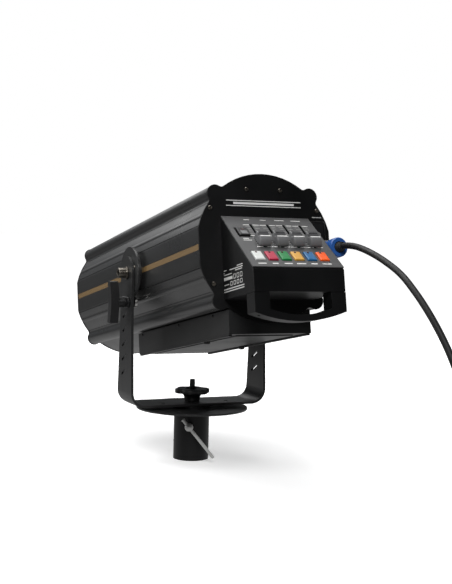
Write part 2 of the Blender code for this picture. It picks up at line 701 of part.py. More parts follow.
def make_console(looks, head, console):
    back = REAR - GAP
    outline = [(back, CONSOLE_TOP), (REAR - CONSOLE_DEPTH, CONSOLE_EDGE),
               (REAR - CONSOLE_DEPTH, CONSOLE_BOTTOM), (back, CONSOLE_BOTTOM)]
    shell = place("console_shell", prism("X", outline, -CONSOLE_SIDE, CONSOLE_SIDE), looks["black_paint"],
                  head)
    wall = CONSOLE_WALL
    inside = [(back + 0.01, CONSOLE_TOP + 0.04), (REAR - CONSOLE_DEPTH + wall, CONSOLE_EDGE + 0.04),
              (REAR - CONSOLE_DEPTH + wall, CONSOLE_BOTTOM + wall), (back + 0.01, CONSOLE_BOTTOM + wall)]
    cut(shell, prism("X", inside, -CONSOLE_SIDE + wall, CONSOLE_SIDE - wall))
    step = PANEL_THICKNESS + GAP
    drop = step / math.cos(SLOPE)
    above = [(back + 0.02, CONSOLE_TOP - drop + 0.02 * math.tan(SLOPE)), (back + 0.02, 0.2),
             (REAR - CONSOLE_DEPTH - 0.02, 0.2),
             (REAR - CONSOLE_DEPTH - 0.02, CONSOLE_EDGE - drop - 0.02 * math.tan(SLOPE))]
    cut(shell, prism("X", above, -0.1, 0.1))

    panel = place("console_panel", box((-CONSOLE_SIDE, -PANEL_LENGTH + 0.0004, -PANEL_THICKNESS),
                                       (CONSOLE_SIDE, -0.0024, 0.0)), looks["panel_grey"], console)
    slots = [box((fader_x(i) - FADER_SLOT_WIDTH / 2, -FADER_TOP - FADER_SLOT, -0.01),
                 (fader_x(i) + FADER_SLOT_WIDTH / 2, -FADER_TOP, 0.01)) for i in range(4)]
    keys = [key_block((key_x(i), -KEY_DOWN), KEY_SIZE, KEY_CLEARANCE, -0.01, 0.01) for i in range(6)]
    left, right = LAMP_WINDOW[0][0], LAMP_WINDOW[1][0]
    lamp = box((left, LAMP_WINDOW[0][1], -0.01), (right, LAMP_WINDOW[1][1], 0.01))
    cut(panel, joined(*slots, *keys, lamp))

    outer = [(-CONSOLE_SIDE, CONSOLE_BOTTOM - GAP)] + bow(CONSOLE_SIDE, -HANDLE_SIDE_DROP, -HANDLE_MID_DROP)
    outer.append((CONSOLE_SIDE, CONSOLE_BOTTOM - GAP))
    grip_side = -HANDLE_SIDE_DROP + 0.0044
    inner = [(GRIP_HALF_WIDTH, CONSOLE_BOTTOM - GAP)]
    inner += list(reversed(bow(GRIP_HALF_WIDTH, grip_side, -HANDLE_MID_DROP + 0.0089)))
    inner.append((-GRIP_HALF_WIDTH, CONSOLE_BOTTOM - GAP))
    handle = prism("Y", outer + inner, REAR - CONSOLE_DEPTH, REAR - CONSOLE_DEPTH + HANDLE_DEPTH)
    handle = place("carry_handle", handle, looks["black_paint"], head)
    screws = [turned("Z", [(0.0022, -0.12), (0.0022, -0.094)], 10, (x, REAR - CONSOLE_DEPTH + 0.011))
              for x in (-0.0590, 0.0590)]
    cut(handle, joined(*screws))


def bow(half, side, middle):
    """A curved lower edge from left to right, deepest in the middle."""
    points = []
    for i in range(13):
        share = -1 + i / 6
        points.append((half * share, middle + (side - middle) * share ** 2))
    return points


def fader_x(index):
    return FADER_FIRST + FADER_PITCH * index


def key_x(index):
    return KEY_FIRST + KEY_PITCH * index


def key_block(centre, size, clearance, low, high):
    """A key-shaped block, as tall and wide as the size plus a clearance all round."""
    reach = (size[0] / 2 + clearance, size[1] / 2 + clearance)
    return box((centre[0] - reach[0], centre[1] - reach[1], low),
               (centre[0] + reach[0], centre[1] + reach[1], high))


def make_controls(looks, console):
    for i in range(4):
        location = (fader_x(i), -FADER_REST, 0.0)
        cap = place(f"fader_cap_{i + 1}", fader_mesh(), looks["grey_plastic"], console, location)
        add(cap, box((-0.0010, -0.0030, -0.0095), (0.0010, 0.0030, CAP_LIFT + 0.0010)))
    for i, colour in enumerate(KEY_COLOURS):
        mesh = key_mesh(KEY_SIZE, KEY_PROUD)
        place(f"{colour}_button", mesh, looks[colour], console, (key_x(i), -KEY_DOWN, 0.0))
    place("lamp_button", key_mesh(LAMP_KEY_SIZE, KEY_PROUD), looks["panel_grey"], console,
          (LAMP_KEY[0], -LAMP_KEY[1], 0.0))


def fader_mesh():
    """A fader cap: two ridges with a hollow between them and a fine groove across the middle."""
    width, length, height = CAP_SIZE
    end = length / 2
    hollow = arc((0.0, height + 0.0095), 0.0125, 230.0, 310.0, 6)
    outline = [(-end, CAP_LIFT), (end, CAP_LIFT), (end - 0.0012, height - 0.0030), (end - 0.0026, height)]
    outline += [(v, z) for v, z in reversed(hollow) if v > 0.001]
    outline += [(0.0006, height - 0.0029), (0.0, height - 0.0039), (-0.0006, height - 0.0029)]
    outline += [(v, z) for v, z in reversed(hollow) if v < -0.001]
    outline += [(-end + 0.0026, height), (-end + 0.0012, height - 0.0030)]
    rings = []
    edge = 0.0010
    half = width / 2
    for x, inset in ((-half, edge), (-half + edge, 0.0), (half - edge, 0.0), (half, edge)):
        scale = 1.0 - inset / height
        rings.append([(x, v * scale, CAP_LIFT + (z - CAP_LIFT) * scale) for v, z in outline])
    return loft(rings)


def key_mesh(size, proud):
    """A push key with sloped shoulders, and a hidden skirt under the panel."""
    half = (size[0] / 2, size[1] / 2)
    levels = ((0.0, -KEY_SKIRT), (0.0, proud - 0.0012), (0.0006, proud - 0.0004), (0.0014, proud))
    rings = []
    for inset, z in levels:
        outline = rectangle((-half[0] + inset, -half[1] + inset), (half[0] - inset, half[1] - inset))
        rings.append([(u, v, z) for u, v in outline])
    return loft(rings)


# ---------------------------------------------------------------- power


def make_power(looks, head):
    face = [(-0.0036, 0.0112), (-0.0012, 0.0), (-0.0036 + 0.0022, -0.0112), (0.0040, -0.0100), (0.0075, 0.0),
            (0.0040, 0.0100)]
    rocker = prism("X", face, -0.0084, 0.0084)
    place("power_rocker", rocker, looks["black_plastic"], head, (ROCKER_CENTRE[0], REAR, ROCKER_CENTRE[1]))

    x, z = INLET_CENTRE
    half = (INLET_FLANGE[0] / 2, INLET_FLANGE[1] / 2)
    flange = prism("Y", rectangle((x - half[0], z - half[1]), (x + half[0], z + half[1])), REAR - 0.0030,
                   REAR - GAP)
    inlet = place("power_inlet", flange, looks["black_plastic"], head)
    add(inlet, turned("Y", [(INLET_BARREL, REAR - 0.0015), (INLET_BARREL, REAR + 0.0230)], 24, (x, z)))
    cut(inlet, turned("Y", [(INLET_BORE, REAR - 0.01), (INLET_BORE, REAR + 0.0180)], 24, (x, z)))

    end = REAR + PLUG_END
    plug = turned("Y", [(PLUG_NOSE, REAR + 0.0150), (PLUG_NOSE, REAR - 0.0034), (PLUG_RADIUS, REAR - 0.0034),
                        (PLUG_RADIUS, REAR - 0.0200), (PLUG_RADIUS - 0.0012, REAR - 0.0230),
                        (PLUG_RADIUS - 0.0012, REAR - 0.0330), (PLUG_RADIUS + 0.0004, REAR - 0.0360),
                        (PLUG_RADIUS + 0.0004, end + 0.0020), (PLUG_RADIUS - 0.0010, end)], 24, (x, z))
    plug = place("power_plug", plug, looks["blue_plastic"], head)
    cut(plug, turned("Y", [(0.0082, end - 0.01), (0.0082, end + 0.0120)], 24, (x, z)))
    cut(plug, turned("Y", [(CABLE_RADIUS, end - 0.01), (CABLE_RADIUS, end + 0.0300)], 16, (x, z)))
    cut(plug, box((x - 0.0045, REAR - 0.0204, z + 0.0098), (x + 0.0045, REAR - 0.0030, z + 0.02)))
    latch = [(REAR - 0.0165, z + 0.0102), (REAR - 0.0070, z + 0.0102), (REAR - 0.0070, z + 0.0150),
             (REAR - 0.0090, z + 0.0168), (REAR - 0.0140, z + 0.0158), (REAR - 0.0165, z + 0.0140)]
    place("plug_latch", prism("X", latch, -0.0041, 0.0041), looks["steel"], head, (x, 0.0, 0.0))


def smooth_route(points, spacing):
    """Evenly spaced points on a smooth curve through the given ones."""
    route = [Vector(point) for point in points]
    route = [route[0] * 2 - route[1]] + route + [route[-1] * 2 - route[-2]]
    fine = []
    for i in range(1, len(route) - 2):
        before, start, end, after = route[i - 1:i + 3]
        for k in range(24):
            t = k / 24
            squared = (2 * before - 5 * start + 4 * end - after) * t ** 2
            cubed = (3 * start - before - 3 * end + after) * t ** 3
            fine.append(0.5 * (2 * start + (end - before) * t + squared + cubed))
    fine.append(route[-2])
    total = sum((b - a).length for a, b in zip(fine, fine[1:]))
    step = total / round(total / spacing)
    even = [fine[0]]
    walked = 0.0
    for a, b in zip(fine, fine[1:]):
        length = (b - a).length
        while walked + length >= step * len(even) and len(even) < round(total / spacing):
            even.append(a.lerp(b, (step * len(even) - walked) / length))
        walked += length
    even.append(fine[-1])
    return even


def make_lead(looks):
    points = smooth_route(CABLE_ROUTE, 0.018)
    curve = bpy.data.curves.new("cable_run", "CURVE")
    curve.dimensions = "3D"
    curve.bevel_depth = CABLE_RADIUS
    curve.bevel_resolution = 3
    curve.use_fill_caps = True
    spline = curve.splines.new("POLY")
    spline.points.add(len(points) - 1)
    for knot, point in zip(spline.points, points):
        knot.co = (*point, 1.0)
    run = bpy.data.objects.new("cable_run", curve)
    run.data.materials.append(looks["rubber"])
    bpy.context.collection.objects.link(run)
    inner, outer, top, soft = COIL_INNER, COIL_OUTER, COIL_HEIGHT, COIL_ROUNDING
    ring = turned("Z", [(inner, soft), (inner + soft, 0.0), (outer - soft, 0.0), (outer, soft),
                        (outer, top - soft), (outer - soft, top), (inner + soft, top), (inner, top - soft)],
                  36, COIL_CENTRE, hollow=True)
    place("cable_coil", ring, looks["rubber"])
    plug = turned("Z", [(0.0062, -MAINS_PLUG_BACK), (0.0085, 0.0), (0.0175, 0.0060), (0.0190, 0.0100),
                        (0.0190, 0.0240), (0.0175, 0.0260)], 24)
    plug = place("mains_plug", plug, looks["rubber"], None, MAINS_PLUG_CENTRE, (-math.pi / 2, 0.0, 0.0))
    prong = [(PRONG_RADIUS, 0.0250), (PRONG_RADIUS, 0.0440), (PRONG_RADIUS - 0.0010, 0.0450)]
    for sign in (-1, 1):
        add(plug, turned("Z", prong, 12, (sign * PRONG_SPACING / 2, 0.0)))


# ---------------------------------------------------------------- inside the lamp house


def make_light_engine(looks, head):
    low = REAR + FAN_STATION
    fan = place("fan_frame", box((-FAN_HALF, low, -FAN_HALF), (FAN_HALF, low + FAN_DEPTH, FAN_HALF)),
                looks["black_plastic"], head)
    cut(fan, turned("Y", [(FAN_BORE, REAR), (FAN_BORE, low + FAN_DEPTH - 0.0030)], 36))
    cut(fan, joined(*[prism("Y", pie_hole(i), low + 0.008, low + 0.038) for i in range(4)]))
    place("fan_rotor", rotor_mesh(), looks["black_plastic"], head, (0.0, low + 0.0110, 0.0))

    place("heat_sink", comb_mesh(), looks["aluminium"], head, (0.0, REAR + SINK_STATION, 0.0))
    low = REAR + LED_STATION
    board = turned("Y", [(0.0260, low), (0.0260, low + 0.0020), (0.0110, low + 0.0020),
                         (0.0110, low + 0.0032)], 32)
    place("led_board", board, looks["white"], head)

    x, z = WHEEL_CENTRE
    wheel = turned("Y", [(WHEEL_RADIUS, -0.0008), (WHEEL_RADIUS, 0.0008)], 36)
    wheel = place("colour_wheel", wheel, looks["aluminium"], head, (x, REAR + WHEEL_STATION, z))
    holes = [turned("Y", [(GEL_RADIUS, -0.01), (GEL_RADIUS, 0.01)], 12,
                    polar(GEL_CIRCLE, 135 + 360 / GEL_COUNT * i)) for i in range(GEL_COUNT)]
    cut(wheel, joined(turned("Y", [(0.0028, -0.01), (0.0028, 0.01)], 12), *holes))
    back = REAR + WHEEL_STATION - 0.0250
    motor = box((x - MOTOR_HALF, back, z - MOTOR_HALF), (x + MOTOR_HALF, back + 0.0210, z + MOTOR_HALF))
    motor = place("wheel_motor", motor, looks["black_paint"], head)
    add(motor, turned("Y", [(0.0024, back + 0.0200), (0.0024, back + 0.0290)], 12, WHEEL_CENTRE))

    inner, outer = IRIS_RADII
    ring = turned("Y", [(inner, -0.0012), (outer, -0.0012), (outer, 0.0012), (inner, 0.0012)], 28,
                  hollow=True)
    ring = place("iris_ring", ring, looks["steel"], head, (0.0, REAR + IRIS_STATION, 0.0))
    add(ring, box((-0.0030, -0.0010, outer - 0.0010), (0.0030, 0.0010, outer + 0.0180)))


def polar(radius, degrees):
    turn = math.radians(degrees)
    return (radius * math.cos(turn), radius * math.sin(turn))


def pie_hole(index):
    start = 90 * index + 8
    return arc((0.0, 0.0), 0.0370, start, start + 74, 6) + arc((0.0, 0.0), 0.0190, start + 70, start + 4, 4)


def rotor_mesh():
    """A fan hub with slanted blades, made as one lobed ring that twists from back to front."""
    rings = []
    for k in range(5):
        twist = math.radians(7 * k)
        ring = []
        for i in range(FAN_BLADES):
            start = math.tau * i / FAN_BLADES + twist
            for reach, offset in ((0.0365, 0.0), (0.0365, 0.09), (0.0190, 0.22), (0.0180, 0.55),
                                  (0.0190, 0.82)):
                ring.append((reach * math.cos(start + offset), -0.0080 + 0.0032 * k,
                             reach * math.sin(start + offset)))
        rings.append(ring)
    return loft(rings)


def comb_mesh():
    """A cooling block: a slab with upright fins towards the fan."""
    left = -(FIN_PITCH * (FIN_COUNT - 1) + FIN_THICKNESS) / 2
    outline = [(left, SINK_DEPTH)]
    for i in range(FIN_COUNT):
        x = left + FIN_PITCH * i
        outline += [(x, 0.0), (x + FIN_THICKNESS, 0.0)]
        if i < FIN_COUNT - 1:
            outline += [(x + FIN_THICKNESS, SINK_FLOOR), (x + FIN_PITCH, SINK_FLOOR)]
    outline.append((-left, SINK_DEPTH))
    return prism("Z", outline, -SINK_HALF_HEIGHT, SINK_HALF_HEIGHT)


def make_zoom(looks, head):
    low, high = REAR + RAIL_SPAN[0], REAR + RAIL_SPAN[1]
    rails = place("zoom_rails", box((-0.0760, high - 0.0020, -0.0560), (0.0760, high + 0.0020, 0.0560)),
                  looks["steel"], head)
    rods = [turned("Y", [(RAIL_RADIUS, low), (RAIL_RADIUS, high)], 12, (sign * RAIL_X, 0.0))
            for sign in (-1, 1)]
    add(rails, joined(*rods))
    cut(rails, box((-0.0560, high - 0.02, -0.0480), (0.0560, high + 0.02, 0.0480)))
    half = CARRIAGE_HALF
    carriage = place("zoom_carriage", box(tuple(-value for value in half), half), looks["black_paint"], head,
                     (0.0, REAR + CARRIAGE_STATION, 0.0))
    bores = [turned("Y", [(RAIL_RADIUS + GAP, -0.02), (RAIL_RADIUS + GAP, 0.02)], 12, (sign * RAIL_X, 0.0))
             for sign in (-1, 1)]
    cut(carriage, joined(turned("Y", [(ZOOM_LENS_RADIUS, -0.02), (ZOOM_LENS_RADIUS, 0.02)], 28), *bores))
    place("zoom_lens", lens_mesh(ZOOM_LENS_RADIUS - GAP, -0.0040, 0.0030, 0.0070), looks["glass"], head,
          (0.0, REAR + CARRIAGE_STATION, 0.0))
    (left, back, under), (right, front, over) = SUPPLY_LOW, SUPPLY_HIGH
    place("power_supply", box((left, REAR + back, under), (right, REAR + front, over)),
          looks["aluminium"], head)


def make_control_board(looks, console):
    board = place("control_board", box((-0.0620, -0.1180, -0.0240), (0.0620, -0.0300, -0.0224)),
                  looks["circuit_board"], console)
    parts = [box((fader_x(i) - 0.0050, -FADER_TOP - FADER_SLOT - 0.0030, -0.0232),
                 (fader_x(i) + 0.0050, -0.0310, -0.0110)) for i in range(4)]
    top = -KEY_SKIRT - KEY_TRAVEL - 0.0010
    parts += [box((key_x(i) - 0.0030, -KEY_DOWN - 0.0030, -0.0232),
                  (key_x(i) + 0.0030, -KEY_DOWN + 0.0030, top)) for i in range(6)]
    add(board, joined(*parts))


def main():
    clear_scene()
    looks = make_materials()
    pivot = empty("yoke_axis", (0.0, 0.0, PIVOT_HEIGHT))
    head = empty("head", (0.0, 0.0, PIVOT_HEIGHT), (math.radians(-TILT), 0.0, 0.0))
    console = empty("console", (0.0, REAR, CONSOLE_TOP), (SLOPE, 0.0, 0.0), head)
    make_stand(looks)
    make_t_screw(looks, "rear", SCREW_BEARING, 0.0150)
    make_t_screw(looks, "front", SCREW_BEARING + 180, 0.0270)
    make_pan_knob(looks)
    make_yoke(looks, pivot)
    for side, sign in (("left", -1), ("right", 1)):
        make_tilt_lock(looks, pivot, side, sign)
    make_house(looks, head)
    make_base_box(looks, head)
    make_brake_discs(looks, head)
    make_console(looks, head, console)
    make_controls(looks, console)
    make_power(looks, head)
    make_light_engine(looks, head)
    make_zoom(looks, head)
    make_control_board(looks, console)
    make_lead(looks)


main()
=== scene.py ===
"""The looks of the follow spot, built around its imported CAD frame.

World frame, in metres: +Z is up, +Y is the beam's heading, and the origin is on the stand tube's axis.
The lamp house is worked on in the "head" frame: x to the right, y along the beam from the tilt axis, z up.
The console's panel is worked on in the "panel" frame: x to the right, y up the slope, z out of the panel.
"""

import json
import math

import bmesh
import bpy
from mathutils import Euler, Matrix, Vector


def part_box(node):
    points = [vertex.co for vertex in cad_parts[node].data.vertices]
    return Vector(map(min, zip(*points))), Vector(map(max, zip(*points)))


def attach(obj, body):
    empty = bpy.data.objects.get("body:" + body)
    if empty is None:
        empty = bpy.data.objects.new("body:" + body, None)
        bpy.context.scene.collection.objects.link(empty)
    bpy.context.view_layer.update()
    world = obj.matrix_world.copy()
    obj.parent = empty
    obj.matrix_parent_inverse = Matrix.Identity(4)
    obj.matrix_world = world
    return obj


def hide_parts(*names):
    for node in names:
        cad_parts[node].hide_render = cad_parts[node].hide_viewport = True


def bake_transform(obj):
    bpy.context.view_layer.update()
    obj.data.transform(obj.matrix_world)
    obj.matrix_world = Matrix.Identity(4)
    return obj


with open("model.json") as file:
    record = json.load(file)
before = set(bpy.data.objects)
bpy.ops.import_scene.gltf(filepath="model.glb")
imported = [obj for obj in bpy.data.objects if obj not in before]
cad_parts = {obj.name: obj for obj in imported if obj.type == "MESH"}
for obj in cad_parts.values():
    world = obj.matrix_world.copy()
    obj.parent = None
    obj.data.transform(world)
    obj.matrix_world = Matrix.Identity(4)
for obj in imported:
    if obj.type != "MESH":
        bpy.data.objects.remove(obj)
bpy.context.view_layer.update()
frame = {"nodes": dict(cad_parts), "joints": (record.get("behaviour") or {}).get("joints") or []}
JOINTS = {joint["name"]: joint for joint in frame["joints"]}
NODES = frame["nodes"]

# Camera
CAMERA_AT = Vector((-0.72254, -1.70787, 0.36748))
CAMERA_BEARING = math.radians(-24.51)
CAMERA_PITCH = math.radians(2.94)
CAMERA_ROLL = math.radians(1.42)
LENS = 70.54

# Lamp house and console, repeated from the CAD part
REAR = -0.2610
LENGTH = 0.5705
FLAT = 0.1023
PROFILE_RADIUS = 0.1055
CONSOLE_TOP = 0.0447
CONSOLE_SIDE = 0.0690
BOX_BOTTOM = -0.1223
BOX_HALF_WIDTH = 0.0643
FADER_XS = [-0.0313 + 0.0258 * i for i in range(4)]
FADER_SLOT = (0.0220, 0.0810)
KEY_COLOURS = ("white", "red", "green", "yellow", "blue", "orange")
KEY_XS = [-0.0513 + 0.0196 * i for i in range(6)]
KEY_DOWN = 0.1032
LAMP_KEY = (-0.0506, 0.0435)
YOKE_FACE = 0.1170
CLAMP_DROP = 0.0460
DISC_FACE = 0.1127
SWITCH = (0.0852, 0.0255)
BOX_SCREW_YS = (0.0540, 0.1840, 0.3426)
PAN_KNOB_BORE = 0.0049

# Finish
SHARP = math.radians(34)
END_INSET = 0.0036
NOISE_LOW = 0.3
NOISE_HIGH = 0.7

# The mains lead
CORD_DIAMETER = 0.0090
CABLE_ROUTE = (
    (0.0888, -0.3080, 0.3515),
    (0.0888, -0.3300, 0.3545),
    (0.0890, -0.3630, 0.3522),
    (0.0893, -0.4050, 0.3426),
    (0.0896, -0.4450, 0.3292),
    (0.0900, -0.4710, 0.3172),
    (0.0905, -0.4930, 0.3028),
    (0.0915, -0.5160, 0.2850),
    (0.0935, -0.5400, 0.2620),
    (0.0965, -0.5620, 0.2350),
    (0.1000, -0.5810, 0.2040),
    (0.1040, -0.5975, 0.1700),
    (0.1080, -0.6120, 0.1340),
    (0.1120, -0.6260, 0.0980),
    (0.1155, -0.6405, 0.0650),
    (0.1185, -0.6580, 0.0370),
    (0.1205, -0.6770, 0.0175),
    (0.1212, -0.6980, 0.0078),
)
COIL_CENTRE = (0.1755, -0.7330)
COIL_RADIUS = 0.0540
COIL_TURNS = 2.5
COIL_PITCH = 0.0094
TURN_POINTS = 16
MAINS_X = 0.2295
PLUG_X = 0.0888
TIE_BEARING = math.radians(35)
TIE_HEIGHT = 0.0150
TIE_HALF = (CORD_DIAMETER / 2 + 0.0004, 0.0102)
TIE_THICKNESS = 0.0012
TIE_REACH = 0.006

# Colours, linear
INK = (0.80, 0.80, 0.78)
GOLD = (0.225, 0.140, 0.055)


# ---------------------------------------------------------------- frames


def axes_frame(x, y, origin):
    """A matrix from its x and y directions and its origin."""
    z = x.cross(y)
    return Matrix((
        (x.x, y.x, z.x, origin.x),
        (x.y, y.y, z.y, origin.y),
        (x.z, y.z, z.z, origin.z),
        (0.0, 0.0, 0.0, 1.0),
    ))


RIGHT = Vector((1.0, 0.0, 0.0))
BEAM = Vector(JOINTS["fan_spin"]["axis"])
UPSLOPE = Vector(JOINTS["fader_1_slide"]["axis"])
HEAD = axes_frame(RIGHT, BEAM, Vector(JOINTS["tilt"]["pos_m"]))
PANEL = axes_frame(RIGHT, UPSLOPE, HEAD @ Vector((0.0, REAR, CONSOLE_TOP)))
YOKE = Matrix.Translation(JOINTS["tilt"]["pos_m"])
WORLD = Matrix.Identity(4)
REARWARD = Euler((math.pi / 2, 0, 0)).to_matrix().to_4x4()
LEFTWARD = Euler((math.pi / 2, 0, -math.pi / 2)).to_matrix().to_4x4()


# ---------------------------------------------------------------- camera and lights


def make_camera():
    """The camera at the viewing place, with its small roll."""
    bearing, pitch = CAMERA_BEARING, CAMERA_PITCH
    level = math.cos(pitch)
    back = Vector((math.sin(bearing) * level, -math.cos(bearing) * level, math.sin(pitch)))
    right = Vector((math.cos(bearing), math.sin(bearing), 0.0))
    up = back.cross(right)
    rolled_right = right * math.cos(CAMERA_ROLL) + up * math.sin(CAMERA_ROLL)
    rolled_up = up * math.cos(CAMERA_ROLL) - right * math.sin(CAMERA_ROLL)
    data = bpy.data.cameras.new("camera")
    data.lens = LENS
    data.clip_start = 0.05
    camera = bpy.data.objects.new("camera", data)
    camera.matrix_world = Matrix((
        (rolled_right.x, rolled_up.x, back.x, CAMERA_AT.x),
        (rolled_right.y, rolled_up.y, back.y, CAMERA_AT.y),
        (rolled_right.z, rolled_up.z, back.z, CAMERA_AT.z),
        (0.0, 0.0, 0.0, 1.0),
    ))
    bpy.context.scene.collection.objects.link(camera)
    bpy.context.scene.camera = camera


def area_light(name, at, towards, size, watts):
    """A soft box that the camera doesn't see."""
    data = bpy.data.lights.new(name, "AREA")
    data.shape = "RECTANGLE"
    data.size, data.size_y = size
    data.energy = watts
    light = bpy.data.objects.new(name, data)
    light.location = at
    heading = Vector(towards) - Vector(at)
    light.rotation_euler = heading.to_track_quat("-Z", "Y").to_euler()
    light.visible_camera = False
    bpy.context.scene.collection.objects.link(light)


def make_studio():
    """A pale floor in a room that is dim behind the camera, with five soft boxes round the spot."""
    scene = bpy.context.scene
    scene.view_settings.view_transform = "Standard"
    world = bpy.data.worlds.new("studio")
    scene.world = world
    world.use_nodes = True
    tree = world.node_tree
    tree.nodes.clear()
    seen = tree.nodes.new("ShaderNodeBackground")
    seen.inputs["Color"].default_value = (1.0, 1.0, 1.0, 1.0)
    room = tree.nodes.new("ShaderNodeBackground")
    room.inputs["Color"].default_value = (0.94, 0.97, 1.0, 1.0)
    heading = tree.nodes.new("ShaderNodeTexCoord")
    split = tree.nodes.new("ShaderNodeSeparateXYZ")
    fade = tree.nodes.new("ShaderNodeMapRange")
    fade.inputs["From Min"].default_value = -0.35
    fade.inputs["From Max"].default_value = 0.85
    fade.inputs["To Min"].default_value = 0.012
    fade.inputs["To Max"].default_value = 0.15
    path = tree.nodes.new("ShaderNodeLightPath")
    mix = tree.nodes.new("ShaderNodeMixShader")
    out = tree.nodes.new("ShaderNodeOutputWorld")
    tree.links.new(heading.outputs["Generated"], split.inputs[0])
    tree.links.new(split.outputs["Y"], fade.inputs["Value"])
    tree.links.new(fade.outputs["Result"], room.inputs["Strength"])
    tree.links.new(path.outputs["Is Camera Ray"], mix.inputs["Fac"])
    tree.links.new(room.outputs[0], mix.inputs[1])
    tree.links.new(seen.outputs[0], mix.inputs[2])
    tree.links.new(mix.outputs[0], out.inputs["Surface"])

    floor = bmesh.new()
    bmesh.ops.create_circle(floor, cap_ends=True, radius=60.0, segments=96)
    data = bpy.data.meshes.new("floor")
    floor.to_mesh(data)
    floor.free()
    ground = bpy.data.objects.new("floor", data)
    ground.location = (0.0, 0.0, -0.0004)
    scene.collection.objects.link(ground)
    data.materials.append(floor_material())

    area_light("top_softbox", (-0.45, 0.55, 2.1), (0.0, 0.05, 0.3), (2.2, 2.6), 66)
    area_light("left_softbox", (-2.3, 1.5, 0.9), (0.0, 0.0, 0.3), (1.5, 1.2), 11)
    area_light("right_softbox", (2.2, 0.3, 0.9), (0.0, 0.0, 0.25), (1.3, 1.3), 9)
    area_light("far_softbox", (-0.15, 2.3, 1.25), (0.0, 0.0, 0.35), (2.4, 0.8), 5)
    area_light("key_softbox", (-1.0, -2.2, 1.9), (0.0, -0.2, 0.3), (0.9, 0.9), 46)


def floor_material():
    """Pale under the object, white far off, and less bright to the object's own paint than to the eye."""
    made = bpy.data.materials.new("pale_floor")
    made.use_nodes = True
    tree = made.node_tree
    shader = tree.nodes["Principled BSDF"]
    shader.inputs["Base Color"].default_value = (0.84, 0.84, 0.84, 1.0)
    shader.inputs["Roughness"].default_value = 0.9
    place = tree.nodes.new("ShaderNodeTexCoord")
    reach = tree.nodes.new("ShaderNodeVectorMath")
    reach.operation = "LENGTH"
    glow = tree.nodes.new("ShaderNodeMapRange")
    glow.inputs["From Min"].default_value = 0.4
    glow.inputs["From Max"].default_value = 2.2
    glow.inputs["To Min"].default_value = 0.42
    glow.inputs["To Max"].default_value = 1.05
    shader.inputs["Emission Color"].default_value = (1.0, 1.0, 1.0, 1.0)
    tree.links.new(place.outputs["Object"], reach.inputs[0])
    tree.links.new(reach.outputs["Value"], glow.inputs["Value"])
    tree.links.new(glow.outputs["Result"], shader.inputs["Emission Strength"])
    dim = tree.nodes.new("ShaderNodeEmission")
    pool = tree.nodes.new("ShaderNodeMapRange")
    pool.inputs["From Min"].default_value = 0.5
    pool.inputs["From Max"].default_value = 1.7
    pool.inputs["To Min"].default_value = 0.46
    pool.inputs["To Max"].default_value = 0.10
    tree.links.new(reach.outputs["Value"], pool.inputs["Value"])
    tree.links.new(pool.outputs["Result"], dim.inputs["Strength"])
    path = tree.nodes.new("ShaderNodeLightPath")
    mix = tree.nodes.new("ShaderNodeMixShader")
    tree.links.new(path.outputs["Is Camera Ray"], mix.inputs["Fac"])
    tree.links.new(dim.outputs[0], mix.inputs[1])
    tree.links.new(shader.outputs[0], mix.inputs[2])
    tree.links.new(mix.outputs[0], tree.nodes["Material Output"].inputs["Surface"])
    return made


# ---------------------------------------------------------------- materials


class Graph:
    """A small helper that wires one procedural material."""

    def __init__(self, name, roughness, metallic=0.0, **sockets):
        self.material = bpy.data.materials.new(name)
        self.material.use_nodes = True
        self.tree = self.material.node_tree
        self.shader = self.tree.nodes["Principled BSDF"]
        self.shader.inputs["Roughness"].default_value = roughness
        self.shader.inputs["Metallic"].default_value = metallic
        for socket, value in sockets.items():
            self.shader.inputs[socket.replace("_", " ")].default_value = value
        self.place = self.tree.nodes.new("ShaderNodeTexCoord").outputs["Object"]

    def link(self, output, socket):
        self.tree.links.new(output, socket)

    def mapped(self, scale, tilt=0.0):
        """Object coordinates, turned with the lamp house and stretched."""
        node = self.tree.nodes.new("ShaderNodeMapping")
        node.vector_type = "TEXTURE" if tilt else "POINT"
        node.inputs["Rotation"].default_value = (tilt, 0.0, 0.0)
        node.inputs["Scale"].default_value = [1 / value for value in scale] if tilt else scale
        self.link(self.place, node.inputs["Vector"])
        return node.outputs[0]

    def noise(self, vector, scale, detail=3.0, rough=0.5):
        node = self.tree.nodes.new("ShaderNodeTexNoise")
        node.inputs["Scale"].default_value = scale
        node.inputs["Detail"].default_value = detail
        node.inputs["Roughness"].default_value = rough
        self.link(vector, node.inputs["Vector"])
        return node.outputs["Fac"]

    def colours(self, value, low, high):
        """Base colour between two ends, as noise goes from its usual low to its usual high."""
        node = self.tree.nodes.new("ShaderNodeValToRGB")
        node.color_ramp.elements[0].position = NOISE_LOW
        node.color_ramp.elements[1].position = NOISE_HIGH
        node.color_ramp.elements[0].color = (*low, 1.0)
        node.color_ramp.elements[1].color = (*high, 1.0)
        self.link(value, node.inputs["Fac"])
        self.link(node.outputs["Color"], self.shader.inputs["Base Color"])

    def bump(self, height, distance, strength):
        node = self.tree.nodes.new("ShaderNodeBump")
        node.inputs["Distance"].default_value = distance
        node.inputs["Strength"].default_value = strength
        self.link(height, node.inputs["Height"])
        self.link(node.outputs["Normal"], self.shader.inputs["Normal"])

    def roughness(self, value, low, high):
        """Roughness between two ends, in the same way."""
        node = self.tree.nodes.new("ShaderNodeMapRange")
        node.inputs["From Min"].default_value = NOISE_LOW
        node.inputs["From Max"].default_value = NOISE_HIGH
        node.inputs["To Min"].default_value = low
        node.inputs["To Max"].default_value = high
        self.link(value, node.inputs["Value"])
        self.link(node.outputs["Result"], self.shader.inputs["Roughness"])


def shade(colour, factor):
    """A colour made lighter or darker."""
    return tuple(min(1.0, part * factor) for part in colour)


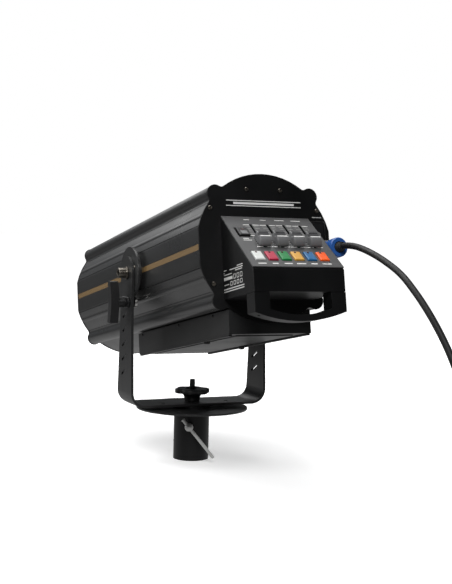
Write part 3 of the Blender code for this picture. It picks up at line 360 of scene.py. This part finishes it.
def painted(name, colour, rough, grain=900.0, depth=0.00006, **sockets):
    """Powder coat: a fine orange peel, with slow changes of gloss and tone."""
    graph = Graph(name, rough, **sockets)
    fine = graph.noise(graph.place, grain, 2.0)
    slow = graph.noise(graph.place, 14.0, 4.0)
    graph.colours(slow, shade(colour, 0.86), shade(colour, 1.16))
    graph.roughness(slow, rough - 0.05, rough + 0.05)
    graph.bump(fine, depth, 0.6)
    return graph.material


def extruded(name, colour, rough):
    """Anodised extrusion: faint draw lines along the beam, in tone and in relief, with slow changes of gloss.
    """
    graph = Graph(name, rough, Specular_IOR_Level=0.5, Coat_Weight=0.12, Coat_Roughness=0.2)
    tilt = math.atan2(BEAM.z, BEAM.y)
    lines = graph.noise(graph.mapped((1.0, 0.012, 1.0), tilt), 420.0, 3.0)
    slow = graph.noise(graph.place, 9.0, 3.0)
    graph.colours(lines, shade(colour, 0.85), shade(colour, 1.2))
    graph.roughness(slow, rough - 0.04, rough + 0.05)
    graph.bump(lines, 0.00003, 0.35)
    return graph.material


def moulded(name, colour, rough, grain=1500.0, depth=0.00004, **sockets):
    """Moulded plastic with a fine spark-eroded grain."""
    graph = Graph(name, rough, **sockets)
    fine = graph.noise(graph.place, grain, 3.0)
    slow = graph.noise(graph.place, 30.0, 3.0)
    graph.colours(slow, shade(colour, 0.9), shade(colour, 1.1))
    graph.roughness(slow, rough - 0.05, rough + 0.05)
    graph.bump(fine, depth, 0.5)
    return graph.material


def machined(name, colour, rough, stretch=(1.0, 1.0, 14.0)):
    """Bare metal with fine tool lines and a slightly clouded polish."""
    graph = Graph(name, rough, 1.0)
    lines = graph.noise(graph.mapped(stretch), 260.0, 4.0)
    slow = graph.noise(graph.place, 40.0, 3.0)
    graph.colours(slow, shade(colour, 0.82), shade(colour, 1.08))
    graph.roughness(lines, rough - 0.08, rough + 0.1)
    graph.bump(lines, 0.00002, 0.4)
    return graph.material


def printed(name, colour, rough=0.6):
    """Screen-printed ink or film, a little uneven in cover."""
    graph = Graph(name, rough)
    patchy = graph.noise(graph.place, 1400.0, 2.0)
    graph.colours(patchy, shade(colour, 0.86), colour)
    return graph.material


def glass(name, tint):
    """Clear glass with a trace of haze."""
    graph = Graph(name, 0.02, Transmission_Weight=1.0, IOR=1.5)
    graph.shader.inputs["Base Color"].default_value = (*tint, 1.0)
    haze = graph.noise(graph.place, 60.0, 2.0)
    graph.roughness(haze, 0.01, 0.05)
    return graph.material


def make_looks():
    """Every finish on the spot, by a short name."""
    return {
        "cover": extruded("satin_black_extrusion", (0.0145, 0.0148, 0.0150), 0.30),
        "coat": painted("black_powder_coat", (0.0115, 0.0118, 0.0120), 0.38),
        "plate": painted("black_plate", (0.0038, 0.0039, 0.0042), 0.42, 1300.0, 0.00004,
                         Specular_IOR_Level=0.28),
        # Painted light: the console panel is black paint like the rest, and its lighter grey base colour
        # stands in for the top light falling on it.
        "panel": painted("black_panel_painted_top_light", (0.070, 0.0705, 0.0715), 0.46, 1600.0, 0.00003),
        "plastic": moulded("black_plastic", (0.007, 0.007, 0.0075), 0.40),
        "grip": moulded("grip_plastic", (0.007, 0.007, 0.0075), 0.44, 900.0, 0.00008),
        "cap": moulded("fader_grey", (0.150, 0.152, 0.156), 0.32),
        # Painted shade: the fader caps' rear ridges are a darker grey than the caps, standing in for the
        # shadow on the ridge's front face.
        "ridge": moulded("fader_ridge_painted_shade", (0.030, 0.030, 0.032), 0.4),
        "pad": moulded("pad_grey", (0.17, 0.172, 0.175), 0.45),
        "steel": machined("zinc_steel", (0.60, 0.59, 0.57), 0.30),
        "bolt": machined("dark_bolt_steel", (0.16, 0.145, 0.125), 0.30),
        "bar": painted("bright_bar_zinc", (0.52, 0.52, 0.51), 0.42, 700.0, 0.00003, Metallic=0.35),
        "aluminium": machined("mill_aluminium", (0.58, 0.58, 0.59), 0.36, (14.0, 1.0, 1.0)),
        "rubber": moulded("rubber", (0.013, 0.013, 0.013), 0.62, 700.0, 0.00012),
        "cable": cable_material(),
        "blue_shell": moulded("blue_shell", (0.022, 0.100, 0.36), 0.36),
        "ink": printed("white_ink", INK),
        "pale_ink": printed("pale_ink", (0.42, 0.42, 0.41)),
        "gold": printed("gold_film", GOLD, 0.42),
        "glass": glass("lens_glass", (0.95, 0.98, 1.0)),
        "board": moulded("circuit_board", (0.012, 0.10, 0.04), 0.4, 200.0, 0.0001),
        "white": moulded("white_key", (0.60, 0.62, 0.60), 0.36),
        "red": moulded("red_key", (0.40, 0.016, 0.050), 0.36),
        "green": moulded("green_key", (0.010, 0.20, 0.052), 0.36),
        "yellow": moulded("yellow_key", (0.62, 0.33, 0.055), 0.36),
        "blue": moulded("blue_key", (0.018, 0.125, 0.30), 0.36),
        "orange": moulded("orange_key", (0.86, 0.105, 0.010), 0.36),
        "led": moulded("led_lens", (0.045, 0.010, 0.010), 0.25),
    }


def cable_material():
    """Black rubber sheath: soft sheen, fine talc marks."""
    graph = Graph("cable_sheath", 0.5)
    fine = graph.noise(graph.place, 600.0, 3.0)
    slow = graph.noise(graph.place, 35.0, 4.0)
    graph.shader.inputs["Specular IOR Level"].default_value = 0.3
    graph.colours(slow, (0.0045, 0.0045, 0.0045), (0.0085, 0.0085, 0.0085))
    graph.roughness(slow, 0.42, 0.60)
    graph.bump(fine, 0.00006, 0.5)
    return graph.material


# ---------------------------------------------------------------- mesh helpers


def circle(radius, segments):
    """Points on a circle about the origin."""
    step = math.tau / segments
    return [(radius * math.cos(i * step), radius * math.sin(i * step)) for i in range(segments)]


def loft(rings, closed=False):
    """A closed skin over rings of equally many points, with end caps or joined end to end."""
    mesh = bmesh.new()
    loops = [[mesh.verts.new(point) for point in ring] for ring in rings]
    pairs = list(zip(loops, loops[1:])) + ([(loops[-1], loops[0])] if closed else [])
    count = len(loops[0])
    for low, high in pairs:
        for i in range(count):
            j = (i + 1) % count
            mesh.faces.new((low[i], low[j], high[j], high[i]))
    if not closed:
        mesh.faces.new(loops[0])
        mesh.faces.new(loops[-1])
    bmesh.ops.recalc_face_normals(mesh, faces=mesh.faces[:])
    return mesh


def turned(profile, segments=32, closed=False):
    """A profile of (radius, height) turned about z."""
    return loft([[(x, y, height) for x, y in circle(radius, segments)] for radius, height in profile], closed)


def block(low, high):
    """A box between two corners."""
    corners = [(low[0], low[1]), (high[0], low[1]), (high[0], high[1]), (low[0], high[1])]
    return loft([[(x, y, z) for x, y in corners] for z in (low[2], high[2])])


def stadium(length, width, steps=8):
    """An oblong outline along x, centred."""
    reach = (length - width) / 2
    points = []
    for side, start in ((1, -90), (-1, 90)):
        for i in range(steps + 1):
            turn = math.radians(start + 180 * i / steps)
            points.append((side * reach + width / 2 * math.cos(turn), width / 2 * math.sin(turn)))
    return points


def merged(meshes):
    """Several meshes as one piece."""
    whole = bmesh.new()
    for mesh in meshes:
        copies = {vert: whole.verts.new(vert.co) for vert in mesh.verts}
        for face in mesh.faces:
            whole.faces.new([copies[vert] for vert in face.verts])
        mesh.free()
    bmesh.ops.recalc_face_normals(whole, faces=whole.faces[:])
    return whole


def moved(mesh, matrix):
    """The same mesh after a move, so that calls can be nested."""
    bmesh.ops.transform(mesh, matrix=matrix, verts=mesh.verts[:])
    return mesh


def piece(name, mesh, look, body, place=WORLD, bevel=0.0):
    """Puts a mesh in the scene as a piece that rides on a CAD body, given in that place's own frame."""
    moved(mesh, place)
    data = bpy.data.meshes.new(name)
    mesh.to_mesh(data)
    mesh.free()
    made = bpy.data.objects.new(name, data)
    bpy.context.scene.collection.objects.link(made)
    data.materials.append(look)
    data.shade_smooth()
    data.set_sharp_from_angle(angle=SHARP)
    if bevel:
        bevelled(made, bevel).miter_outer = "MITER_ARC"
        weigh_normals(made)
    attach(made, body)
    return made


def bevelled(made, width):
    """Rounds an object's sharp edges, and gives back the modifier that does it."""
    step = made.modifiers.new("bevel", "BEVEL")
    step.width = width
    step.segments = 2
    step.limit_method = "ANGLE"
    step.angle_limit = SHARP
    step.use_clamp_overlap = True
    return step


def weigh_normals(made):
    """Leaves flat faces looking flat beside rounded edges."""
    normals = made.modifiers.new("normals", "WEIGHTED_NORMAL")
    normals.keep_sharp = True


def smooth_by_angle():
    """A geometry node group that marks edges sharp by their angle."""
    group = bpy.data.node_groups.new("smooth_by_angle", "GeometryNodeTree")
    group.interface.new_socket("Geometry", in_out="INPUT", socket_type="NodeSocketGeometry")
    group.interface.new_socket("Geometry", in_out="OUTPUT", socket_type="NodeSocketGeometry")
    start = group.nodes.new("NodeGroupInput")
    end = group.nodes.new("NodeGroupOutput")
    angle = group.nodes.new("GeometryNodeInputMeshEdgeAngle")
    limit = group.nodes.new("FunctionNodeCompare")
    limit.data_type = "FLOAT"
    limit.operation = "LESS_EQUAL"
    limit.inputs["B"].default_value = SHARP
    faces = group.nodes.new("GeometryNodeSetShadeSmooth")
    faces.domain = "FACE"
    edges = group.nodes.new("GeometryNodeSetShadeSmooth")
    edges.domain = "EDGE"
    group.links.new(start.outputs[0], faces.inputs["Geometry"])
    group.links.new(faces.outputs[0], edges.inputs["Geometry"])
    group.links.new(angle.outputs["Unsigned Angle"], limit.inputs["A"])
    group.links.new(limit.outputs["Result"], edges.inputs["Shade Smooth"])
    group.links.new(edges.outputs[0], end.inputs[0])
    return group


SMOOTH = smooth_by_angle()


def dress(node, look, bevel=0.0):
    """Gives a CAD node its finish, and rounds its edges without touching its own mesh."""
    made = NODES[node]
    data = made.data
    data.materials.clear()
    data.materials.append(look)
    if "custom_normal" in data.attributes:
        data.attributes.remove(data.attributes["custom_normal"])
    weld = made.modifiers.new("weld", "WELD")
    weld.merge_threshold = 0.00001
    if bevel:
        flat = made.modifiers.new("flat", "DECIMATE")
        flat.decimate_type = "DISSOLVE"
        flat.angle_limit = math.radians(0.4)
        bevelled(made, bevel)
    soft = made.modifiers.new("smooth", "NODES")
    soft.node_group = SMOOTH
    weigh_normals(made)


# ---------------------------------------------------------------- mains lead


def coil_points():
    """The lead's turns, climbing one diameter a turn, then its short tail into the mains plug."""
    points = []
    for i in range(int(COIL_TURNS * TURN_POINTS) + 1):
        turns = i / TURN_POINTS
        angle = math.pi + math.tau * turns
        points.append((COIL_CENTRE[0] + COIL_RADIUS * math.cos(angle),
                       COIL_CENTRE[1] + COIL_RADIUS * math.sin(angle),
                       CORD_DIAMETER / 2 + 0.0002 + COIL_PITCH * turns))
    x, y, z = points[-1]
    tail = [(x, y + 0.015, z - 0.0010), (x, y + 0.030, 0.0218), (x, y + 0.0455, 0.0192)]
    return points + tail


def smooth_path(points, steps=4):
    """Points on a smooth curve through the given ones."""
    fine = []
    last = len(points) - 1
    for i in range(last):
        before, start = Vector(points[max(i - 1, 0)]), Vector(points[i])
        end, after = Vector(points[i + 1]), Vector(points[min(i + 2, last)])
        slope = end - before
        square = 2 * before - 5 * start + 4 * end - after
        cube = 3 * start - before - 3 * end + after
        for k in range(steps):
            t = k / steps
            fine.append(0.5 * (2 * start + slope * t + square * t ** 2 + cube * t ** 3))
    return fine + [Vector(points[-1])]


def tube(line, radius, sides=16):
    """A round tube along a line, with closed ends and no twist."""
    rings = []
    across = Vector((1.0, 0.0, 0.0))
    for i, point in enumerate(line):
        along = (line[min(i + 1, len(line) - 1)] - line[max(i - 1, 0)]).normalized()
        across = (across - along * across.dot(along)).normalized()
        other = along.cross(across)
        rings.append([tuple(point + (across * u + other * v)) for u, v in circle(radius, sides)])
    return loft(rings)


def ribbed_boot(name, looks, body, place):
    """A rubber strain relief that tapers along z in three ribs, with a collar at its foot."""
    profile = [(0.0047, 0.0), (0.0078, 0.0), (0.0078, 0.0090)]
    for ring in range(3):
        start = 0.0100 + 0.0034 * ring
        radius = 0.0072 - 0.0006 * ring
        profile += [(radius, start), (radius, start + 0.0020), (radius - 0.0010, start + 0.0024),
                    (radius - 0.0010, start + 0.0032)]
    profile += [(0.0054, 0.0210), (0.0047, 0.0212)]
    return piece(name, turned(profile, 36, True), looks["rubber"], body, place)


def make_lead(looks):
    """The whole lead, from the blue plug on the head to the mains plug that rests with the yoke."""
    line = smooth_path(list(CABLE_ROUTE) + coil_points())
    data = bpy.data.meshes.new("mains_lead")
    mesh = tube(line, CORD_DIAMETER / 2)
    mesh.to_mesh(data)
    mesh.free()
    data.materials.append(looks["cable"])
    data.shade_smooth()
    lead = bpy.data.objects.new("mains_lead", data)
    bpy.context.scene.collection.objects.link(lead)
    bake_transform(lead)
    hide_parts("cable_run", "cable_coil")

    place = HEAD @ Matrix.Translation((PLUG_X, REAR - 0.0415, -0.0060)) @ REARWARD
    boot = ribbed_boot("plug_boot", looks, "head", place)
    place = Matrix.Translation((MAINS_X, -0.6865, 0.0194)) @ REARWARD
    relief = ribbed_boot("mains_boot", looks, "yoke", place)
    pins = make_prongs(looks)
    tie = make_tie(looks)
    dress("mains_plug", looks["rubber"], 0.0008)


def make_prongs(looks):
    """The two round pins of the mains plug."""
    prongs = []
    for side in (-1, 1):
        prong = turned([(0.0025, 0.0), (0.0025, 0.0172), (0.0019, 0.0186), (0.0009, 0.0192)], 20)
        place = Matrix.Translation((MAINS_X + side * 0.0095, -0.6362, 0.0192)) @ facing((0, 1, 0))
        prongs.append(moved(prong, place))
    return piece("mains_prongs", merged(prongs), looks["steel"], "yoke", WORLD)


def make_tie(looks):
    """The strap round the stack of turns."""
    across = Vector((math.cos(TIE_BEARING), math.sin(TIE_BEARING), 0.0))
    along = Vector((-math.sin(TIE_BEARING), math.cos(TIE_BEARING), 0.0))
    centre = Vector((COIL_CENTRE[0] + COIL_RADIUS * math.cos(TIE_BEARING),
                     COIL_CENTRE[1] + COIL_RADIUS * math.sin(TIE_BEARING), TIE_HEIGHT))
    half_wide, half_high = TIE_HALF
    outline = [(half_wide * math.copysign(abs(u) ** 0.6, u), half_high * math.copysign(abs(v) ** 0.6, v))
               for u, v in circle(1.0, 28)]
    section = ((0.0, -TIE_REACH), (TIE_THICKNESS, -TIE_REACH), (TIE_THICKNESS, TIE_REACH), (0.0, TIE_REACH))
    rings = []
    for grow, offset in section:
        wide, high = 1 + grow / half_wide, 1 + grow / half_high
        rings.append([tuple(centre + across * u * wide + Vector((0, 0, v * high)) + along * offset)
                      for u, v in outline])
    return piece("lead_tie", loft(rings, True), looks["plastic"], "yoke", WORLD)


# ---------------------------------------------------------------- small hardware


def cap_screw(radius, height, recess=0.5):
    """A button-head screw with a hexagon recess, standing on z = 0."""
    head = [(radius, 0.0), (radius, height * 0.35), (radius * 0.9, height * 0.75), (radius * 0.68, height),
            (radius * recess, height)]
    rings = [[(x, y, z) for x, y in circle(r, 24)] for r, z in head]
    hexagon = []
    for i in range(24):
        turn = math.tau * i / 24
        wedge = (turn % (math.pi / 3)) - math.pi / 6
        reach = radius * recess * 0.88 / math.cos(wedge) * math.cos(math.pi / 6)
        hexagon.append((reach * math.cos(turn), reach * math.sin(turn)))
    rings.append([(x, y, height - 0.0001) for x, y in hexagon])
    rings.append([(x, y, height * 0.35) for x, y in hexagon])
    return loft(rings)


def facing(normal):
    """A turn that takes +z to a normal."""
    return Vector((0, 0, 1)).rotation_difference(Vector(normal)).to_matrix().to_4x4()


def screws(name, looks, spots, normal, radius, height, body, place, look="bolt"):
    """One piece holding a row of like screws."""
    turn = facing(normal)
    meshes = [moved(cap_screw(radius, height), Matrix.Translation(spot) @ turn) for spot in spots]
    return piece(name, merged(meshes), looks[look], body, place)


def make_hardware(looks):
    """Screws, clamp plates and the other small fittings of the lamp house and yoke."""
    plate_spots = ((-0.084, 0.055), (0.084, 0.055), (-0.0265, 0.083), (0.0265, 0.083),
                   (-0.084, -0.052), (0.084, -0.052))
    for end, y, outwards in (("rear", REAR, -1), ("front", REAR + LENGTH, 1)):
        spots = [(x, y, z) for x, z in plate_spots]
        screws(f"{end}_plate_screws", looks, spots, (0, outwards, 0), 0.0033, 0.0021, "head", HEAD)
    for side, sign in (("left", -1), ("right", 1)):
        spots = []
        for degrees in (-12, 108, 228):
            turn = math.radians(degrees)
            spots.append((sign * DISC_FACE, -0.026 * math.cos(turn), 0.026 * -math.sin(turn)))
        screws(f"{side}_disc_screws", looks, spots, (sign, 0, 0), 0.0026, 0.0016, "head", HEAD)
        edge = [(sign * BOX_HALF_WIDTH, REAR + y, -0.0915) for y in BOX_SCREW_YS]
        screws(f"{side}_box_screws", looks, edge, (sign, 0, 0), 0.0022, 0.0012, "head", HEAD, "plastic")
        make_clamp_plate(looks, side, sign)
    make_bumpers(looks)
    make_box_lips(looks)
    make_bezel(looks)


def make_clamp_plate(looks, side, sign):
    """The oblong pressure plate under a tilt knob's hub."""
    outline = stadium(0.038, 0.017)
    low, high = YOKE_FACE + 0.0003, YOKE_FACE + 0.0027
    rings = []
    for inset, x in ((0.0006, low), (0.0, low + 0.0006), (0.0, high - 0.0006), (0.0006, high)):
        scale = (1 - inset / 0.019, 1 - inset / 0.0085)
        rings.append([(sign * x, y * scale[0], z * scale[1] - CLAMP_DROP) for y, z in outline])
    hole = [[(sign * x, y, z - CLAMP_DROP) for y, z in circle_like(outline, 0.0045)] for x in (high, low)]
    piece(f"{side}_clamp_plate", loft(rings + hole, True), looks["plastic"], "yoke", YOKE)


def circle_like(outline, radius):
    """A small circle with as many points as an outline, each at the same bearing."""
    return [(radius * y / math.hypot(y, z), radius * z / math.hypot(y, z)) for y, z in outline]


def make_bumpers(looks):
    """The rubber buttons under the base box, as (radius, depth below the box)."""
    profile = [(radius, BOX_BOTTOM - depth)
               for radius, depth in ((0.0046, 0.0002), (0.0046, 0.0040), (0.0040, 0.0052), (0.0022, 0.0056))]
    meshes = []
    for x, y in ((-0.0565, REAR + 0.096), (0.0565, REAR + 0.219)):
        meshes.append(moved(turned(profile, 24), Matrix.Translation((x, y, 0.0))))
    piece("box_bumpers", merged(meshes), looks["rubber"], "head", HEAD)


def make_box_lips(looks):
    """The folded lips along the underside of the base box, and the plate between them."""
    meshes = []
    top = BOX_BOTTOM + 0.0002
    for sign in (-1, 1):
        low, high = sorted((sign * (BOX_HALF_WIDTH - 0.0004), sign * (BOX_HALF_WIDTH - 0.0056)))
        meshes.append(block((low, REAR + 0.0035, BOX_BOTTOM - 0.0026), (high, REAR + 0.3600, top)))
    meshes.append(block((-0.0450, REAR + 0.0200, BOX_BOTTOM - 0.0016), (0.0450, REAR + 0.3400, top)))
    piece("box_lips", merged(meshes), looks["coat"], "head", HEAD, 0.0005)


def make_bezel(looks):
    """The frame round the rocker switch."""
    x, z = SWITCH
    outer, inner = (0.0112, 0.0142), (0.0090, 0.0118)
    rings = []
    for (half_x, half_z), proud in ((outer, 0.0001), (outer, 0.0012), ((0.0106, 0.0136), 0.0018),
                                    ((0.0094, 0.0122), 0.0018), (inner, 0.0010), (inner, 0.0001)):
        corners = ((-1, -1), (1, -1), (1, 1), (-1, 1))
        rings.append([(x + half_x * u, REAR - proud, z + half_z * v) for u, v in corners])
    piece("switch_bezel", loft(rings, True), looks["plastic"], "head", HEAD)


def make_pan_grip(looks):
    """The hand knob on the pan stud: six lobes, a flat top with a hub recess, and a tapered neck."""
    def ring(radius, height, depth=0.0):
        """An outline at one height, with its six hollows cut to a depth."""
        points = []
        for i in range(96):
            turn = math.tau * i / 96
            reach = radius - depth * (0.5 - 0.5 * math.cos(6 * turn + 0.5)) ** 2
            points.append((reach * math.cos(turn), reach * math.sin(turn), height))
        return points

    neck = ((PAN_KNOB_BORE, 0.0941), (0.0118, 0.0941), (0.0124, 0.0955), (0.0128, 0.0990), (0.0142, 0.1030),
            (0.0168, 0.1056), (0.0200, 0.1064))
    rim = ((0.0268, 0.1066, 0.0040), (0.0280, 0.1071, 0.0042), (0.0285, 0.1080, 0.0042),
           (0.0285, 0.1126, 0.0042), (0.0281, 0.1136, 0.0042), (0.0270, 0.1140, 0.0042))
    hub = ((0.0135, 0.1140), (0.0128, 0.1136), (0.0124, 0.1118), (PAN_KNOB_BORE, 0.1116))
    rings = [ring(*row) for row in neck + rim + hub]
    grip = piece("pan_hand_knob", loft(rings, True), looks["grip"], "pan_grip", WORLD)
    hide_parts("pan_knob")


def make_t_bars(looks):
    """The sliding tommy bars of the stand screws, each with a chamfered tip and a small head."""
    for side in ("rear", "front"):
        low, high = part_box(f"t_bar_{side}")
        bar = turned([(0.0019, -0.0388), (0.0026, -0.0380), (0.0026, 0.0372), (0.0031, 0.0376),
                      (0.0031, 0.0391), (0.0024, 0.0397)], 24)
        place = Matrix.Translation((low + high) / 2) @ facing(JOINTS[f"{side}_bar_slide"]["axis"])
        made = piece(f"{side}_tommy_bar", bar, looks["bar"], f"{side}_bar", place)
        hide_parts(f"t_bar_{side}")


def make_switch_mark(looks):
    """The small ring that marks the off side of the rocker."""
    ring = [(0.0020, 0.0), (0.0026, 0.0), (0.0026, 0.0004), (0.0020, 0.0004)]
    place = HEAD @ Matrix.Translation((SWITCH[0], REAR - 0.0017, 0.0205)) @ facing((0, -1, 0))
    piece("rocker_mark", turned(ring, 24, True), looks["pale_ink"], "rocker", place)


def make_beads(looks):
    """The low rounded beads just past the side panels' edges, two a side."""
    band = []
    for i in range(9):
        share = i / 8
        height = 0.0406 + 0.0076 * share
        reach = PROFILE_RADIUS + 0.0011 * math.sin(math.pi * share) - 0.0001
        band.append((math.sqrt(reach ** 2 - height ** 2), height))
    foot = [(x - 0.0008, z - 0.0003) for x, z in reversed(band)]
    meshes = []
    for side in (-1, 1):
        for level in (-1, 1):
            rings = [[(side * x, y, level * z) for x, z in band + foot]
                     for y in (REAR + END_INSET, REAR + LENGTH - END_INSET)]
            meshes.append(loft(rings))
    piece("cover_beads", merged(meshes), looks["cover"], "head", HEAD)


def make_stripes(looks):
    """The thin gold strips along the side panels' flats."""
    for side, sign in (("left", -1), ("right", 1)):
        low, high = sorted((sign * (FLAT - 0.00095), sign * (FLAT - 0.00015)))
        strip = block((low, REAR + END_INSET, -0.0042), (high, REAR + LENGTH - END_INSET, 0.0042))
        piece(f"{side}_stripe", strip, looks["gold"], "head", HEAD, 0.0001)


# ---------------------------------------------------------------- print


def bars(name, looks, rectangles, place, look="ink"):
    """Printed marks as thin raised bars: (x, y, width, height) in the place's xy plane, +z outwards."""
    low, high = 0.00006, 0.00006 + 0.00010
    meshes = [block((x - w / 2, y - h / 2, low), (x + w / 2, y + h / 2, high)) for x, y, w, h in rectangles]
    piece(name, merged(meshes), looks[look], "head", place)


def make_print(looks):
    """Plain bars in place of the lettering, and the faders' scales."""
    scale, ticks = [], []
    for x in FADER_XS:
        for line in range(13):
            down = FADER_SLOT[0] + 0.0024 + 0.0276 / 6 * line
            bold = line in (0, 6, 12)
            for side in (-1, 1):
                width = 0.0094 if bold else 0.0076
                target = scale if bold else ticks
                target.append((x + side * (0.0028 + width / 2), -down, width, 0.0014 if bold else 0.0006))
    bars("fader_scale", looks, scale, PANEL)
    bars("fader_ticks", looks, ticks, PANEL, look="pale_ink")
    captions = [(x - 0.0018, -0.0106, width, 0.0014)
                for x, width in zip(FADER_XS, (0.0085, 0.0090, 0.0150, 0.0150))]
    captions += [(x - 0.0008, -0.1207, width, 0.0021)
                 for x, width in zip(KEY_XS, (0.0120, 0.0085, 0.0120, 0.0140, 0.0095, 0.0140))]
    captions += [(-0.0525, -0.0600, 0.0085, 0.0014), (-0.0512, -0.0640, 0.0125, 0.0014)]
    bars("caption_marks", looks, captions, PANEL)

    rear = HEAD @ Matrix.Translation((0.0, REAR, 0.0)) @ REARWARD
    title = [(0.0, 0.0665, 0.118, 0.0011), (0.0, 0.0590, 0.118, 0.0011), (0.0, 0.06275, 0.096, 0.0030)]
    bars("title_rules", looks, title, rear)
    power = [(0.0840, 0.0455, 0.0150, 0.0014)]
    bars("power_mark", looks, power, rear, look="pale_ink")

    side = HEAD @ Matrix.Translation((-CONSOLE_SIDE, REAR, 0.0)) @ LEFTWARD
    rows = []
    for start, end, z, high in ((0.046, 0.064, -0.0330, 0.0011), (0.003, 0.012, -0.0350, 0.0010),
                                (0.022, 0.064, -0.0358, 0.0011), (0.002, 0.005, -0.0385, 0.0009),
                                (0.040, 0.062, -0.0385, 0.0011), (0.003, 0.028, -0.0412, 0.0011),
                                (0.002, 0.030, -0.0468, 0.0042), (0.003, 0.018, -0.0552, 0.0011),
                                (0.001, 0.066, -0.0612, 0.0015), (0.001, 0.066, -0.0645, 0.0013)):
        rows.append(((start + end) / 2, z, end - start, high))
    for k in range(3):
        rows += box_outline(0.0370 + 0.0105 * k, -0.0462, 0.0062, 0.0056, 0.0009)
    for k in range(4):
        rows += box_outline(0.0260 + 0.0105 * k, -0.0548, 0.0062, 0.0048, 0.0010)
    bars("rating_marks", looks, rows, side)


def box_outline(x, y, width, height, line):
    """An empty printed square, as four bars."""
    return [(x, y + height / 2, width, line), (x, y - height / 2, width, line),
            (x - width / 2, y, line, height), (x + width / 2, y, line, height)]


# ---------------------------------------------------------------- controls


def fader_cap():
    """A cap with a rounded front, a crest for its line, a finger dip and a square rear ridge."""
    outline = [(-0.0112, 0.0012), (-0.0117, 0.0030), (-0.0116, 0.0050), (-0.0108, 0.0072), (-0.0094, 0.0092),
               (-0.0076, 0.0108), (-0.0055, 0.0119), (-0.0036, 0.0125), (-0.0016, 0.0125), (-0.0010, 0.0112),
               (-0.0002, 0.0098), (0.0014, 0.0090), (0.0034, 0.0092), (0.0044, 0.0104), (0.0050, 0.0122),
               (0.0056, 0.0126), (0.0100, 0.0124), (0.0108, 0.0116), (0.0114, 0.0070), (0.0115, 0.0012)]
    rings = []
    for x, inset in ((-0.0086, 0.0010), (-0.0082, 0.0003), (-0.0074, 0.0), (0.0074, 0.0), (0.0082, 0.0003),
                     (0.0086, 0.0010)):
        scale = 1.0 - inset / 0.0125
        rings.append([(x, v * scale, 0.0012 + (z - 0.0012) * scale) for v, z in outline])
    return loft(rings)


def make_controls(looks):
    """Fader grips, the lamps in the keys, and the lamp key's pad and window."""
    for i, x in enumerate(FADER_XS):
        place = PANEL @ Matrix.Translation((x, -0.0690, 0.0))
        cap = piece(f"fader_{i + 1}_grip", fader_cap(), looks["cap"], f"fader_{i + 1}", place)
        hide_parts(f"fader_cap_{i + 1}")
        # A dark block over the cap's own rear ridge, as painted shade on its front face.
        ridge = block((-0.0072, 0.0054, 0.0100), (0.0072, 0.0102, 0.0131))
        piece(f"fader_{i + 1}_ridge", ridge, looks["ridge"], f"fader_{i + 1}", place, 0.0004)
        line = block((-0.0075, -0.0036, 0.01245), (0.0075, -0.0017, 0.01268))
        piece(f"fader_{i + 1}_index", line, looks["ink"], f"fader_{i + 1}", place)
    for x, colour in zip(KEY_XS, KEY_COLOURS):
        place = PANEL @ Matrix.Translation((x - 0.0012, -KEY_DOWN + 0.0066, 0.0022))
        dot = turned([(0.0017, -0.0004), (0.0017, 0.00012), (0.0010, 0.0006)], 20)
        piece(f"{colour}_led", dot, looks["led"], f"{colour}_key", place)
    place = PANEL @ Matrix.Translation((LAMP_KEY[0], -LAMP_KEY[1], 0.0))
    pad = block((-0.0048, -0.0076, 0.0020), (0.0048, 0.0006, 0.0027))
    piece("lamp_key_pad", pad, looks["pad"], "lamp_key", place, 0.0004)
    window = block((-0.0022, 0.0030, 0.0021), (0.0022, 0.0060, 0.00235))
    piece("lamp_key_window", window, looks["led"], "lamp_key", place)


# ---------------------------------------------------------------- CAD nodes


def dress_nodes(looks):
    """The finish and edge width of every CAD node that is seen as it is."""
    plan = {
        "cover": ("top_cover", "bottom_cover", "left_side_panel", "right_side_panel"),
        "coat": ("base_box", "yoke", "stand_disc", "left_tilt_disc", "right_tilt_disc", "pan_stud"),
        "plate": ("stand_tube", "rear_plate", "front_plate", "console_shell", "carry_handle", "lens_ring",
                  "zoom_carriage", "wheel_motor"),
        # The console panel gets the lighter grey that stands in for its painted top light.
        "panel": ("console_panel",),
        "plastic": ("lamp_button", "power_inlet", "power_rocker", "friction_washer", "fan_frame",
                    "fan_rotor"),
        "grip": ("left_tilt_knob", "right_tilt_knob"),
        "steel": ("left_clamp_shoe", "right_clamp_shoe", "plug_latch", "iris_ring", "zoom_rails"),
        "bolt": ("left_pivot_bolt", "right_pivot_bolt"),
        "bar": ("stand_screw_rear", "stand_screw_front"),
        "aluminium": ("heat_sink", "colour_wheel", "power_supply"),
        "blue_shell": ("power_plug",),
        "glass": ("front_lens", "zoom_lens"),
        "board": ("control_board",),
        "white": ("led_board",),
    }
    widths = {
        "rear_plate": 0.0006, "front_plate": 0.0006, "console_shell": 0.0010, "carry_handle": 0.0012,
        "console_panel": 0.0005, "base_box": 0.0006, "yoke": 0.0007, "stand_disc": 0.0005,
        "left_tilt_knob": 0.0010, "right_tilt_knob": 0.0010, "left_pivot_bolt": 0.0005,
        "right_pivot_bolt": 0.0005, "left_tilt_disc": 0.0005, "right_tilt_disc": 0.0005, "power_plug": 0.0006,
        "plug_latch": 0.0004, "power_inlet": 0.0005, "lamp_button": 0.0005, "power_rocker": 0.0006,
        "stand_tube": 0.0004,
    }
    for look, nodes in plan.items():
        for node in nodes:
            dress(node, looks[look], widths.get(node, 0.0))
    for colour in KEY_COLOURS:
        dress(f"{colour}_button", looks[colour], 0.0005)


make_camera()
make_studio()
LOOKS = make_looks()
make_lead(LOOKS)
dress_nodes(LOOKS)
make_hardware(LOOKS)
make_stripes(LOOKS)
make_beads(LOOKS)
make_pan_grip(LOOKS)
make_t_bars(LOOKS)
make_switch_mark(LOOKS)
make_print(LOOKS)
make_controls(LOOKS)
